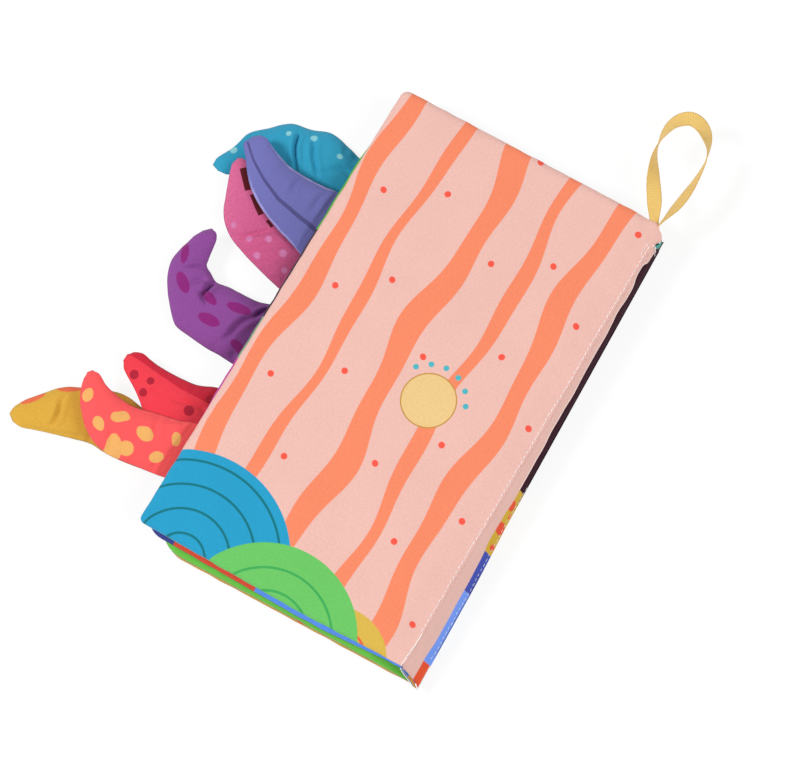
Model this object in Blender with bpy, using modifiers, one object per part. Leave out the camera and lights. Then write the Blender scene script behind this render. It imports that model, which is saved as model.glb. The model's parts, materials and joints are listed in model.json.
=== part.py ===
"""Crinkle cloth book: four padded leaves on a cloth spine, seven stuffed tails and a ribbon loop.

Metres, +Z up. The closed book lies on its front cover with the back cover up. +Y runs up the page, the
spine is on the +X side and the tails come out of the fore edge towards -X. The model is laid out in a book
frame, with X and Y zero at the middle of the back cover and Z zero on the table, and is then moved as a
whole so that the world origin is the middle of the underside of its bounding box.
"""

import math

import bmesh
import bpy
from mathutils import Matrix, Vector

# Driving sizes of the book
BOOK_HEIGHT = 0.230
COVER_WIDTH = 0.133
LEAF_THICKNESS = 0.0044
LEAF_GAP = 0.0005
SPINE_LEAN = 0.0040
LOWER_SKEW = math.radians(1.4)

# Cloth, filling and the gaps between them. WADDING_SHARE is of the room that cloth, film and gaps leave.
CLOTH = 0.00035
LAYER_GAP = 0.0003
SEAM_LIFT = 0.00045
FILM = 0.0002
WADDING_SHARE = 0.85

# How a leaf is shaped: pillowed edges, and a pinch where it is sewn to the spine
EDGE_RUN = 0.006
FILLING_INSET = 0.0075
PINCH_RUN = 0.012
RISE_RUN = 0.025
FILLING_ROOT_INSET = 0.027

# The two stitch lines, which are the hinges of the leaves
UPPER_HINGE_DROP = 0.0031
LOWER_HINGE_HEIGHT = 0.0040
ROOT_SETBACK = 0.0006
ROOT_GAP = 0.0002

# The cloth strips of the spine
SPINE_STRIP_REACH = 0.0009
SPINE_SIDE_REACH = 0.0022
SPINE_STRIP_PITCH = 0.0006

# Stitching
THREAD_RADIUS = 0.0003
UPPER_STITCH_INSET = 0.0020
LOWER_STITCH_HEIGHT = 0.0030
STITCH_END_INSET = 0.0065

# Tails: padded thickness, the run over which they thin to their root, and the hinge gap to the leaf
TAIL_THICKNESS = 0.0042
TAIL_ROOT_RUN = 0.008
TAIL_HINGE_GAP = 0.0009
TAIL_FILLING = 0.0014
TAIL_FILLING_INSET = 0.0035
TAIL_FILLING_ROOT_INSET = 0.0105

# Ribbon loop
RIBBON_WIDTH = 0.0066
RIBBON_THICKNESS = 0.00035
RIBBON_END_GAP = 0.00025
RIBBON_HINGE_GAP = 0.0009
LOOP_LENGTH = 0.0495
LOOP_WIDTH = 0.0215
LOOP_CORNER_INSET = 0.0038

# Where the grids of the filling, the spine and the tails have lines: shares of a corner's radius, of the
# spine's height, and of a tail's half width and length. A tail narrows to its tip from TIP_START_SHARE on.
GRID_HALF_SHARE = 0.5
FILLING_LINE_SHARE = 0.35
SPINE_STATION_SHARES = (0.0, 0.1, 0.2, 0.3, 0.4, 0.5, 0.6, 0.7, 0.8, 0.9, 1.0)
TAIL_ROW_SHARES = (-1.0, -0.72, -0.3, 0.3, 0.72, 1.0)
TAIL_STATION_SHARES = (0.0, 0.045, 0.13, 0.28, 0.44, 0.6, 0.75, 0.88, 0.96, 1.0)
TAIL_FILLING_STATION_SHARES = (0.0, 0.13, 0.44, 0.75, 0.96, 1.0)
TIP_START_SHARE = 0.86
TIP_LEAST_SHARE = 0.4
TANGENT_SHARE = 0.01
LOOP_STATIONS = 44

# Leaves from the table up: how far the fore edge stands in from the back cover's, how much longer than the
# cover the leaf is at each end, and the radii of its lower and upper fore corners
FRONT_COVER = {
    "name": "front_cover",
    "layer": 0,
    "fore_inset": 0.0060,
    "overlength": 0.0010,
    "lower_corner": 0.0140,
    "upper_corner": 0.0060,
}
FRONT_PAGE = {
    "name": "front_page",
    "layer": 1,
    "fore_inset": 0.0050,
    "overlength": 0.0008,
    "lower_corner": 0.0140,
    "upper_corner": 0.0060,
}
BACK_PAGE = {
    "name": "back_page",
    "layer": 2,
    "fore_inset": 0.0006,
    "overlength": 0.0002,
    "lower_corner": 0.0120,
    "upper_corner": 0.0060,
}
BACK_COVER = {
    "name": "back_cover",
    "layer": 3,
    "fore_inset": 0.0,
    "overlength": 0.0,
    "lower_corner": 0.0020,
    "upper_corner": 0.0040,
}
LEAVES = (FRONT_COVER, FRONT_PAGE, BACK_PAGE, BACK_COVER)

# Tails. place is the root's middle up the page, reach how far the tip stands out from the fore edge and
# root_width the width of the root. The centreline's shares are of the reach, outwards and up the page, and
# the width shares are of the root's width.
TAILS = (
    {
        "name": "teal_tail",
        "leaf": FRONT_COVER,
        "place": 0.0732,
        "reach": 0.0650,
        "root_width": 0.0190,
        "line_shares": ((0, 0), (0.38, 0.045), (0.67, 0.0), (0.90, -0.14), (1.0, -0.36)),
        "width_shares": (1.0, 1.1, 1.0, 0.64, 0.38),
    },
    {
        "name": "violet_tail",
        "leaf": BACK_PAGE,
        "place": 0.0405,
        "reach": 0.0505,
        "root_width": 0.0340,
        "line_shares": ((0, 0), (0.37, 0.08), (0.67, 0.19), (0.88, 0.31), (1.0, 0.40)),
        "width_shares": (1.0, 0.80, 0.61, 0.41, 0.20),
    },
    {
        "name": "pink_tail",
        "leaf": FRONT_PAGE,
        "place": 0.0197,
        "reach": 0.0540,
        "root_width": 0.0190,
        "line_shares": ((0, 0), (0.44, 0.07), (0.70, 0.19), (0.87, 0.37), (1.0, 0.58)),
        "width_shares": (1.0, 1.08, 1.05, 0.84, 0.36),
    },
    {
        "name": "purple_tail",
        "leaf": FRONT_PAGE,
        "place": -0.0123,
        "reach": 0.0520,
        "root_width": 0.0300,
        "line_shares": ((0, 0), (0.42, -0.02), (0.73, 0.01), (0.94, 0.20), (1.0, 0.42), (0.965, 0.63)),
        "width_shares": (1.0, 0.98, 0.88, 0.66, 0.46, 0.20),
    },
    {
        "name": "red_tail",
        "leaf": FRONT_PAGE,
        "place": -0.0503,
        "reach": 0.0520,
        "root_width": 0.0190,
        "line_shares": ((0, 0), (0.36, -0.05), (0.64, -0.065), (0.85, -0.02), (1.0, 0.03)),
        "width_shares": (1.0, 1.08, 1.0, 0.70, 0.30),
    },
    {
        "name": "coral_tail",
        "leaf": BACK_PAGE,
        "place": -0.0785,
        "reach": 0.0575,
        "root_width": 0.0284,
        "line_shares": ((0, 0), (0.30, -0.05), (0.53, -0.08), (0.74, -0.035), (0.90, 0.08), (1.0, 0.19)),
        "width_shares": (1.0, 0.90, 0.78, 0.70, 0.46, 0.17),
    },
    {
        "name": "yellow_tail",
        "leaf": FRONT_COVER,
        "place": -0.0783,
        "reach": 0.0860,
        "root_width": 0.0220,
        "line_shares": ((0, 0), (0.28, 0.0), (0.56, 0.01), (0.76, -0.035), (0.91, -0.115), (1.0, -0.205)),
        "width_shares": (1.0, 1.08, 1.08, 0.92, 0.70, 0.30),
    },
)

# The loop's middle line, in shares of its width to the left of the root and of its length up the page, and
# the ribbon's twist along it in quarter turns: 1 and -1 lie flat, 0 stands on edge
LOOP_LINE_SHARES = (
    (0.0, 0.0),
    (0.24, 0.16),
    (0.52, 0.36),
    (0.75, 0.60),
    (0.74, 0.86),
    (0.46, 1.0),
    (0.08, 0.96),
    (-0.22, 0.78),
    (-0.29, 0.56),
    (-0.26, 0.26),
    (0.0, 0.0),
)
LOOP_TWIST_QUARTERS = (1.0, 1.0, 0.7, 0.1, -0.5, -1.0, -0.7, -0.1, 0.1, 0.4, 1.0)

COLOURS = {
    "peach_print": (0.94, 0.75, 0.71),
    "green_print": (0.42, 0.78, 0.39),
    "navy_print": (0.22, 0.25, 0.55),
    "red_print": (0.85, 0.29, 0.17),
    "yellow_print": (0.79, 0.66, 0.24),
    "maroon_print": (0.29, 0.14, 0.19),
    "blue_print": (0.30, 0.55, 0.85),
    "spine_print": (0.87, 0.70, 0.66),
    "wadding": (0.93, 0.93, 0.91),
    "film": (0.80, 0.84, 0.87),
    "thread": (0.95, 0.95, 0.94),
    "ribbon": (0.95, 0.80, 0.45),
    "teal_tail": (0.17, 0.62, 0.75),
    "violet_tail": (0.44, 0.44, 0.71),
    "pink_tail": (0.83, 0.34, 0.56),
    "purple_tail": (0.55, 0.27, 0.64),
    "red_tail": (0.93, 0.20, 0.28),
    "coral_tail": (1.0, 0.35, 0.36),
    "yellow_tail": (0.87, 0.69, 0.24),
}
PANEL_COLOURS = {
    "front_cover_outer_panel": "maroon_print",
    "front_cover_inner_panel": "yellow_print",
    "front_page_outer_panel": "blue_print",
    "front_page_inner_panel": "green_print",
    "back_page_outer_panel": "red_print",
    "back_page_inner_panel": "navy_print",
    "back_cover_outer_panel": "peach_print",
    "back_cover_inner_panel": "blue_print",
}
CLOTH_ROUGHNESS = 0.85
FILM_ROUGHNESS = 0.35

COLLECTION_NAME = "crinkle_cloth_book"

# Places that follow from the sizes above
HALF_HEIGHT = BOOK_HEIGHT / 2
FORE_EDGE_X = -COVER_WIDTH / 2
UPPER_HINGE_X = COVER_WIDTH / 2
LOWER_HINGE_X = UPPER_HINGE_X + SPINE_LEAN
LAYER_PITCH = LEAF_THICKNESS + LEAF_GAP
WADDING = WADDING_SHARE * (LEAF_THICKNESS - 2 * CLOTH - 3 * LAYER_GAP - FILM)
STACK_HEIGHT = LEAF_THICKNESS + BACK_COVER["layer"] * LAYER_PITCH
UPPER_HINGE_Z = STACK_HEIGHT - UPPER_HINGE_DROP
LOWER_HINGE_Z = LOWER_HINGE_HEIGHT


def smoothstep(share):
    """Ease from 0 to 1 with level ends."""
    share = min(1.0, max(0.0, share))
    return share * share * (3 - 2 * share)


def layer_z(leaf):
    """Height of the middle of a leaf."""
    return LEAF_THICKNESS / 2 + leaf["layer"] * LAYER_PITCH


def fore_x(leaf):
    return FORE_EDGE_X + leaf["fore_inset"]


def is_upper(leaf):
    """The two upper leaves are sewn along the upper stitch line."""
    return leaf["layer"] >= BACK_PAGE["layer"]


def lie(leaf, point):
    """Turn a point of one of the two lower leaves, which lie a little askew under the upper ones."""
    if is_upper(leaf):
        return point
    middle = Vector((LOWER_HINGE_X, 0, 0))
    return middle + Matrix.Rotation(LOWER_SKEW, 3, "Z") @ (point - middle)


def hinge_point(leaf):
    """The middle of the stitch line that a leaf turns on."""
    if is_upper(leaf):
        return Vector((UPPER_HINGE_X, 0, UPPER_HINGE_Z))
    return Vector((LOWER_HINGE_X, 0, LOWER_HINGE_Z))


def is_cover(leaf):
    return leaf["layer"] in (FRONT_COVER["layer"], BACK_COVER["layer"])


def near_side(leaf):
    """The side of a leaf that faces the leaf sewn to the same stitch line: 1 is up, -1 is down."""
    return 1 if leaf["layer"] in (FRONT_COVER["layer"], BACK_PAGE["layer"]) else -1


def spline(points, share):
    """A smooth curve through all the points, with share running from 0 to 1 along it."""
    spans = len(points) - 1
    span = min(int(share * spans), spans - 1)
    t = share * spans - span
    before = Vector(points[max(span - 1, 0)])
    start = Vector(points[span])
    end = Vector(points[span + 1])
    after = Vector(points[min(span + 2, spans)])
    return 0.5 * (
        2 * start
        + (end - before) * t
        + (2 * before - 5 * start + 4 * end - after) * t * t
        + (3 * start - before - 3 * end + after) * t * t * t
    )


def heading(points, share):
    """The direction of that curve at a share along it."""
    return spline(points, min(1.0, share + TANGENT_SHARE)) - spline(points, max(0.0, share - TANGENT_SHARE))


def make_material(name):
    """A plain Principled material in one of the named colours."""
    material = bpy.data.materials.get(name)
    if material:
        return material
    material = bpy.data.materials.new(name)
    material.use_nodes = True
    shader = material.node_tree.nodes["Principled BSDF"]
    linear = [channel**2.2 for channel in COLOURS[name]]
    shader.inputs["Base Color"].default_value = (*linear, 1)
    shader.inputs["Roughness"].default_value = FILM_ROUGHNESS if name == "film" else CLOTH_ROUGHNESS
    shader.inputs["Metallic"].default_value = 0
    return material


def place_object(obj, body, colour):
    """Put an object that was made in the book frame on its body, and give it its material."""
    collection.objects.link(obj)
    pivot = body.matrix_world.translation
    obj.data.transform(Matrix.Translation(-pivot))
    obj.parent = body
    obj.data.materials.append(make_material(colour))
    return obj


def make_body(name, pivot, parent):
    """An empty on the joint's axis, which carries the pieces that move together."""
    body = bpy.data.objects.new(name, None)
    collection.objects.link(body)
    body.empty_display_size = LEAF_THICKNESS
    body.parent = parent
    carried = parent.matrix_world.translation if parent else Vector((0, 0, 0))
    body.location = pivot - carried
    bpy.context.view_layer.update()
    return body


def make_sheet(name, body, colour, columns, rows, surface, thickness, side):
    """A grid bent to a surface and thickened: side -1 is below the surface, 1 above it, 0 both ways.

    surface(column, row) gives a point in the book frame for each pair of grid lines.
    """
    mesh = bpy.data.meshes.new(name)
    grid = bmesh.new()
    x_segments = len(columns) - 1
    y_segments = len(rows) - 1
    bmesh.ops.create_grid(grid, x_segments=x_segments, y_segments=y_segments, size=GRID_HALF_SHARE)
    for vertex in grid.verts:
        column = columns[round((vertex.co.x + GRID_HALF_SHARE) * x_segments)]
        row = rows[round((vertex.co.y + GRID_HALF_SHARE) * y_segments)]
        vertex.co = surface(column, row)
    bmesh.ops.triangulate(grid, faces=grid.faces[:], quad_method="SHORT_EDGE")
    grid.to_mesh(mesh)
    grid.free()
    obj = place_object(bpy.data.objects.new(name, mesh), body, colour)
    solidify = obj.modifiers.new("cloth_thickness", "SOLIDIFY")
    solidify.thickness = thickness
    solidify.offset = side
    return obj


def round_fore_corner(leaf, x, y):
    """Pull a point of the square block at a fore corner on to that corner's quarter disc."""
    radius = leaf["upper_corner"] if y > 0 else leaf["lower_corner"]
    corner_x = fore_x(leaf) + radius
    corner_y = math.copysign(HALF_HEIGHT + leaf["overlength"] - radius, y)
    across = (x - corner_x) / radius
    along = (y - corner_y) / radius
    length = math.hypot(across, along)
    if across >= 0 or along * y <= 0 or length == 0:
        return x, y
    pull = max(abs(across), abs(along)) / length
    return corner_x + across * pull * radius, corner_y + along * pull * radius


def leaf_lines(leaf):
    """Grid lines of a leaf: distances out from the fore edge, and places up the page."""
    fore = fore_x(leaf)
    root = hinge_point(leaf).x - ROOT_SETBACK
    half = HALF_HEIGHT + leaf["overlength"]
    reach = max(leaf["lower_corner"], leaf["upper_corner"], EDGE_RUN)
    columns = [fore, fore + EDGE_RUN, fore + 2 * reach]
    columns += [root - RISE_RUN, root - PINCH_RUN, root - PINCH_RUN / 2, root]
    rows = [-half, -half + EDGE_RUN, -half + 2 * reach]
    rows += [half - 2 * reach, half - EDGE_RUN, half]
    return columns, rows


def face_height(leaf, side, from_root):
    """Height of a face of a leaf before its edges are pillowed, at a distance from the sewn edge.

    At the sewn edge the face that looks at the neighbour lies by the hinge and the other one lies past it.
    """
    near = side == near_side(leaf)
    flat = layer_z(leaf) + side * LEAF_THICKNESS / 2
    depth = ROOT_GAP if near else ROOT_GAP + 2 * SEAM_LIFT
    sewn = hinge_point(leaf).z - near_side(leaf) * depth
    run = PINCH_RUN if near or is_cover(leaf) else RISE_RUN
    return sewn + (flat - sewn) * smoothstep(from_root / run)


def leaf_surface(leaf, side):
    """The outside of a leaf above (side 1) or below (side -1), as a function of the grid lines."""
    fore = fore_x(leaf)
    root = hinge_point(leaf).x - ROOT_SETBACK
    half = HALF_HEIGHT + leaf["overlength"]

    def point(x, y):
        seam_distance = min(x - fore, half - abs(y))
        x, y = round_fore_corner(leaf, x, y)
        near = face_height(leaf, side, root - x)
        other = face_height(leaf, -side, root - x)
        pillow = smoothstep(seam_distance / EDGE_RUN)
        swell = SEAM_LIFT + (abs(near - other) / 2 - SEAM_LIFT) * pillow
        return lie(leaf, Vector((x, y, (near + other) / 2 + side * swell)))

    return point


def filling_surface(leaf, lift):
    """A flat sheet inside a leaf, lifted from its middle, with its outline pulled in from the edges."""
    fore = fore_x(leaf)
    root = hinge_point(leaf).x - ROOT_SETBACK
    half = HALF_HEIGHT + leaf["overlength"]

    def point(x, y):
        x, y = round_fore_corner(leaf, x, y)
        share = (x - fore) / (root - fore)
        x = fore + FILLING_INSET + share * (root - FILLING_ROOT_INSET - fore - FILLING_INSET)
        return lie(leaf, Vector((x, y / half * (half - FILLING_INSET), layer_z(leaf) + lift)))

    return point


def make_leaf(leaf, body):
    """Two cloth panels sewn round their edges, with wadding and a crinkle film between them."""
    name = leaf["name"]
    columns, rows = leaf_lines(leaf)
    top_name = f"{name}_outer_panel" if is_upper(leaf) else f"{name}_inner_panel"
    under_name = f"{name}_inner_panel" if is_upper(leaf) else f"{name}_outer_panel"
    half = LEAF_THICKNESS / 2
    top = leaf_surface(leaf, 1)
    make_sheet(top_name, body, PANEL_COLOURS[top_name], columns, rows, top, CLOTH, -1)
    under = leaf_surface(leaf, -1)
    make_sheet(under_name, body, PANEL_COLOURS[under_name], columns, rows, under, CLOTH, 1)

    columns, rows = filling_lines(leaf)
    wadding_lift = half - CLOTH - 2 * LAYER_GAP - FILM - WADDING / 2
    wadding = filling_surface(leaf, wadding_lift)
    make_sheet(f"{name}_wadding", body, "wadding", columns, rows, wadding, WADDING, 0)
    film_lift = half - CLOTH - LAYER_GAP - FILM / 2
    film = filling_surface(leaf, film_lift)
    make_sheet(f"{name}_crinkle_film", body, "film", columns, rows, film, FILM, 0)


def filling_lines(leaf):
    """Grid lines of what fills a leaf, which is flat and needs few of them."""
    fore = fore_x(leaf)
    root = hinge_point(leaf).x - ROOT_SETBACK
    half = HALF_HEIGHT + leaf["overlength"]
    reach = max(leaf["lower_corner"], leaf["upper_corner"])
    line = reach * FILLING_LINE_SHARE
    columns = [fore, fore + line, fore + reach, root]
    rows = [-half, -half + line, -half + reach, half - reach, half - line, half]
    return columns, rows


def spine_middle(z, y):
    """The middle of the spine's cloth, which climbs in an S from the lower stitch line to the upper one."""
    climb = smoothstep((z - LOWER_HINGE_Z) / (UPPER_HINGE_Z - LOWER_HINGE_Z))
    upper = Vector((UPPER_HINGE_X, y, z))
    lower = lie(FRONT_COVER, Vector((LOWER_HINGE_X, y, z)))
    return lower.lerp(upper, climb)


def spine_surface(offset, reach):
    """A strip of the spine from one stitch line to the other, offset outwards from the middle strip."""
    top = UPPER_HINGE_Z - reach
    bottom = LOWER_HINGE_Z + reach

    def point(share, y):
        z = bottom + share * (top - bottom)
        climb = spine_middle(z + CLOTH, y) - spine_middle(z - CLOTH, y)
        outwards = Vector((climb.z, 0, -climb.x)).normalized()
        return spine_middle(z, y) + outwards * offset

    return point


def upper_stitch_line(y):
    """The upper row of stitches lies on top of the back cover, just in from the fold."""
    x = UPPER_HINGE_X - UPPER_STITCH_INSET
    top = leaf_surface(BACK_COVER, 1)(x, 0).z
    return Vector((x, y, top + LAYER_GAP + THREAD_RADIUS))


def lower_stitch_line(y):
    """The lower row lies on the outside of the spine, a little above the fold."""
    height = UPPER_HINGE_Z - LOWER_HINGE_Z - 2 * SPINE_SIDE_REACH
    share = (LOWER_STITCH_HEIGHT - SPINE_SIDE_REACH) / height
    outside = SPINE_STRIP_PITCH + CLOTH / 2 + LAYER_GAP + THREAD_RADIUS
    return spine_surface(outside, SPINE_SIDE_REACH)(share, y)


def make_spine(body):
    """Three strips of cloth: the cover's outside, the page sheet between, and the cover's lining."""
    rows = (-HALF_HEIGHT, 0, HALF_HEIGHT)
    strips = (
        ("spine_cover_strip", "spine_print", SPINE_STRIP_PITCH, SPINE_SIDE_REACH),
        ("spine_page_strip", "green_print", 0, SPINE_STRIP_REACH),
        ("spine_lining_strip", "blue_print", -SPINE_STRIP_PITCH, SPINE_SIDE_REACH),
    )
    for name, colour, offset, reach in strips:
        surface = spine_surface(offset, reach)
        make_sheet(name, body, colour, SPINE_STATION_SHARES, rows, surface, CLOTH, 0)


def make_stitching(name, body, line):
    """A row of thread along the spine, as one thin cord on the cloth. line(y) gives its middle line."""
    reach = HALF_HEIGHT - STITCH_END_INSET
    curve = bpy.data.curves.new(name, "CURVE")
    curve.dimensions = "3D"
    curve.bevel_depth = THREAD_RADIUS
    curve.bevel_resolution = 1
    curve.use_fill_caps = True
    thread = curve.splines.new("POLY")
    thread.points.add(1)
    for point, y in zip(thread.points, (-reach, reach)):
        point.co = (*line(y), 1)
    place_object(bpy.data.objects.new(name, curve), body, "thread")


def tail_root(tail):
    """The middle of a tail's root, which stands off the fore edge by the hinge gap."""
    leaf = tail["leaf"]
    return Vector((fore_x(leaf) - TAIL_HINGE_GAP, tail["place"], layer_z(leaf)))


def tail_hinge(tail):
    """The tail turns on a line midway in the gap between its root and the leaf."""
    return lie(tail["leaf"], tail_root(tail) + Vector((TAIL_HINGE_GAP / 2, 0, 0)))


def tail_surface(tail, side, half_thickness, inset, root_inset):
    """A surface of a tail above or below its middle. The panels have no inset, and run down to the seam."""
    root = tail_root(tail)
    reach = tail["reach"]
    line = [(-out * reach, up * reach) for out, up in tail["line_shares"]]
    widths = [(share * tail["root_width"] / 2, 0) for share in tail["width_shares"]]

    def point(share, across):
        start_share = root_inset / reach
        share = start_share + share * (1 - start_share - inset / reach)
        centre = spline(line, share)
        ahead = heading(line, share)
        if share < TANGENT_SHARE:
            ahead = Vector((-1, 0))
        normal = Vector((-ahead.y, ahead.x)).normalized()
        cap = 1.0
        if share > TIP_START_SHARE:
            over = (share - TIP_START_SHARE) / (1 - TIP_START_SHARE)
            cap = TIP_LEAST_SHARE + (1 - TIP_LEAST_SHARE) * math.sqrt(max(0.0, 1 - over * over))
        half_width = spline(widths, share).x * cap
        half_width = max(half_width - inset, inset / 2)
        place = centre + normal * half_width * across
        from_root = share * reach
        swell = half_thickness
        if inset == 0:
            crown = math.sqrt(max(0.0, 1 - across * across))
            tip = smoothstep((1 - share) * reach / TAIL_ROOT_RUN)
            swell = SEAM_LIFT + (half_thickness - SEAM_LIFT) * min(
                crown, tip, smoothstep(from_root / TAIL_ROOT_RUN)
            )
        return lie(tail["leaf"], Vector((root.x + place.x, root.y + place.y, root.z + side * swell)))

    return point


def make_tail(tail, body):
    """Two cloth panels sewn round their edges, round a thin filling."""
    name = tail["name"]
    half = TAIL_THICKNESS / 2
    top = tail_surface(tail, 1, half, 0, 0)
    under = tail_surface(tail, -1, half, 0, 0)
    stations = TAIL_STATION_SHARES
    rows = TAIL_ROW_SHARES
    make_sheet(f"{name}_top_panel", body, name, stations, rows, top, CLOTH, -1)
    make_sheet(f"{name}_under_panel", body, name, stations, rows, under, CLOTH, 1)
    stations = TAIL_FILLING_STATION_SHARES
    filling = tail_surface(tail, 1, 0, TAIL_FILLING_INSET, TAIL_FILLING_ROOT_INSET)
    make_sheet(f"{name}_filling", body, "wadding", stations, (-1, 0, 1), filling, TAIL_FILLING, 0)


def loop_root():
    """The middle of the loop's sewn ends, in the seam of the cover's top edge by the spine."""
    return Vector((
        UPPER_HINGE_X - LOOP_CORNER_INSET,
        HALF_HEIGHT + RIBBON_HINGE_GAP,
        layer_z(BACK_COVER),
    ))


def loop_hinge():
    return loop_root() - Vector((0, RIBBON_HINGE_GAP / 2, 0))


def make_loop(body):
    """A ribbon that leaves the seam flat, turns on edge, rolls over flat at its top and comes back."""
    root = loop_root()
    line = [(-left * LOOP_WIDTH, up * LOOP_LENGTH) for left, up in LOOP_LINE_SHARES]
    twists = [(quarters * math.pi / 2, 0) for quarters in LOOP_TWIST_QUARTERS]
    end_lift = (RIBBON_THICKNESS + RIBBON_END_GAP) / 2

    def point(share, across):
        centre = spline(line, share)
        ahead = heading(line, share)
        if share < TANGENT_SHARE:
            ahead = Vector((0, 1))
        if share > 1 - TANGENT_SHARE:
            ahead = Vector((0, -1))
        left = Vector((-ahead.y, ahead.x, 0)).normalized()
        twist = spline(twists, share).x
        width = left * math.sin(twist) + Vector((0, 0, 1)) * math.cos(twist)
        lift = end_lift * math.cos(math.pi * (1 - share))
        middle = Vector((root.x + centre.x, root.y + centre.y, root.z + lift))
        return middle + width * across * RIBBON_WIDTH / 2

    stations = [index / LOOP_STATIONS for index in range(LOOP_STATIONS + 1)]
    make_sheet("ribbon_loop", body, "ribbon", stations, (-1, 1), point, RIBBON_THICKNESS, 0)


def centre_on_floor(root):
    """Move the whole book so that the origin is the middle of the underside of its box."""
    bpy.context.view_layer.update()
    depsgraph = bpy.context.evaluated_depsgraph_get()
    low = Vector((math.inf, math.inf, math.inf))
    high = -low
    for obj in collection.objects:
        if obj.type == "EMPTY":
            continue
        evaluated = obj.evaluated_get(depsgraph)
        mesh = evaluated.to_mesh()
        for vertex in mesh.vertices:
            place = evaluated.matrix_world @ vertex.co
            low = Vector(map(min, low, place))
            high = Vector(map(max, high, place))
        evaluated.to_mesh_clear()
    middle = (low + high) / 2
    root.location -= Vector((middle.x, middle.y, low.z))
    bpy.context.view_layer.update()


for old in list(bpy.data.objects):
    bpy.data.objects.remove(old)
collection = bpy.data.collections.new(COLLECTION_NAME)
bpy.context.scene.collection.children.link(collection)

bodies = {"front_cover": make_body("front_cover", Vector((0, 0, 0)), None)}
bodies["front_page"] = make_body("front_page", hinge_point(FRONT_PAGE), bodies["front_cover"])
bodies["spine"] = make_body("spine", hinge_point(FRONT_PAGE), bodies["front_page"])
bodies["back_page"] = make_body("back_page", hinge_point(BACK_PAGE), bodies["spine"])
bodies["back_cover"] = make_body("back_cover", hinge_point(BACK_COVER), bodies["back_page"])

for leaf in LEAVES:
    make_leaf(leaf, bodies[leaf["name"]])
make_spine(bodies["spine"])

make_stitching("upper_stitching", bodies["back_cover"], upper_stitch_line)
make_stitching("lower_stitching", bodies["spine"], lower_stitch_line)

for tail in TAILS:
    tail_body = make_body(tail["name"], tail_hinge(tail), bodies[tail["leaf"]["name"]])
    make_tail(tail, tail_body)
make_loop(make_body("ribbon_loop_body", loop_hinge(), bodies["back_cover"]))

centre_on_floor(bodies["front_cover"])
for body in collection.objects:
    if body.type == "EMPTY":
        place = body.matrix_world.translation
        print("pivot", body.name, [round(value, 6) for value in place])
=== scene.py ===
"""Looks of the crinkle cloth book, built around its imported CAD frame.

Lengths are millimetres in the book's own frame (X and Y zero at the middle of the back cover, Z zero on the
floor) until place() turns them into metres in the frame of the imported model.
"""

import json
import math

import bpy
import numpy as np
from mathutils import Matrix, Vector


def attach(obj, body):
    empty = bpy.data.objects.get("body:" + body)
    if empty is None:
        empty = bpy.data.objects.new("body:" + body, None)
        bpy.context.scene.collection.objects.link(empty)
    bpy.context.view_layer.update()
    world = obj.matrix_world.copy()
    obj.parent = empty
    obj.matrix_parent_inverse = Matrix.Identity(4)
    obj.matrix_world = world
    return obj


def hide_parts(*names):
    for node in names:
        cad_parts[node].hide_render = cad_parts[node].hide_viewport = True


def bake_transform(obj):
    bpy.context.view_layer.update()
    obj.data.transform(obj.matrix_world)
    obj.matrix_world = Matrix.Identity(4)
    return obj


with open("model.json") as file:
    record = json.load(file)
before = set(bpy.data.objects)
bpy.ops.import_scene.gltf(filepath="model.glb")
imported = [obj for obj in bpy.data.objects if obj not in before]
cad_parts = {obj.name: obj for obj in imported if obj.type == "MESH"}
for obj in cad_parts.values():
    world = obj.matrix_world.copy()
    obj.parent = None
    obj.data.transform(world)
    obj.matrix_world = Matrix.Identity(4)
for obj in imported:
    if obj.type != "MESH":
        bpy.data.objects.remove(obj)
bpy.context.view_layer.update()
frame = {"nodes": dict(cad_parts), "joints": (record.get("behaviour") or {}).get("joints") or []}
joints = {joint["name"]: joint for joint in frame["joints"]}

# Sizes repeated from the CAD source, in millimetres
UP_HINGE = (66.5, 16.0)
LOW_HINGE = (70.5, 4.0)
SKEW = math.radians(1.4)
LEAF_PITCH = 4.9
HALF_LEAF = 2.2
PINCH_RUN = 12.0
RISE_RUN = 25.0
ROOT_SETBACK = 0.6
HALF_PAGE = 115.0

# The cloth's thickness, and the upper stitch row's place across the cover
CLOTH = 0.3
STITCH_X = 66.0

# Camera, solved from the corners of the book in the photograph
CAMERA_AT = (260.9, -289.97, 1371.93)
CAMERA_AIM = (2.43, -8.11, 20.0)
CAMERA_UP = (-0.5, 0.866, 0)
CAMERA_ROLL = math.radians(0.466)
CAMERA_LENS = 144.9
SENSOR = 36

ORIGIN = np.array(joints["back_cover_turn"]["pos_m"]) * 1000 - (UP_HINGE[0], 0, UP_HINGE[1])


def place(points):
    """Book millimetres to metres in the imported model's frame."""
    return (np.asarray(points, float) + ORIGIN) / 1000


def link(obj):
    bpy.context.scene.collection.objects.link(obj)
    return obj


def make_camera():
    eye = Vector(place([CAMERA_AT])[0])
    aim = Vector(place([CAMERA_AIM])[0])
    back = (eye - aim).normalized()
    right = Vector(CAMERA_UP).cross(back).normalized()
    up = back.cross(right)
    turned = Matrix((right, up, back)).transposed() @ Matrix.Rotation(CAMERA_ROLL, 3, "Z")
    data = bpy.data.cameras.new("camera")
    data.sensor_width = SENSOR
    data.sensor_fit = "HORIZONTAL"
    data.lens = CAMERA_LENS
    camera = link(bpy.data.objects.new("camera", data))
    camera.matrix_world = Matrix.Translation(eye) @ turned.to_4x4()
    bpy.context.scene.camera = camera


# Shader nodes and patterns


def linear(code):
    """A web colour such as F0BFB4 as linear red, green, blue and alpha."""
    values = [int(code[i : i + 2], 16) / 255 for i in (0, 2, 4)]
    return (*[v / 12.92 if v <= 0.04045 else ((v + 0.055) / 1.055) ** 2.4 for v in values], 1)


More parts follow.
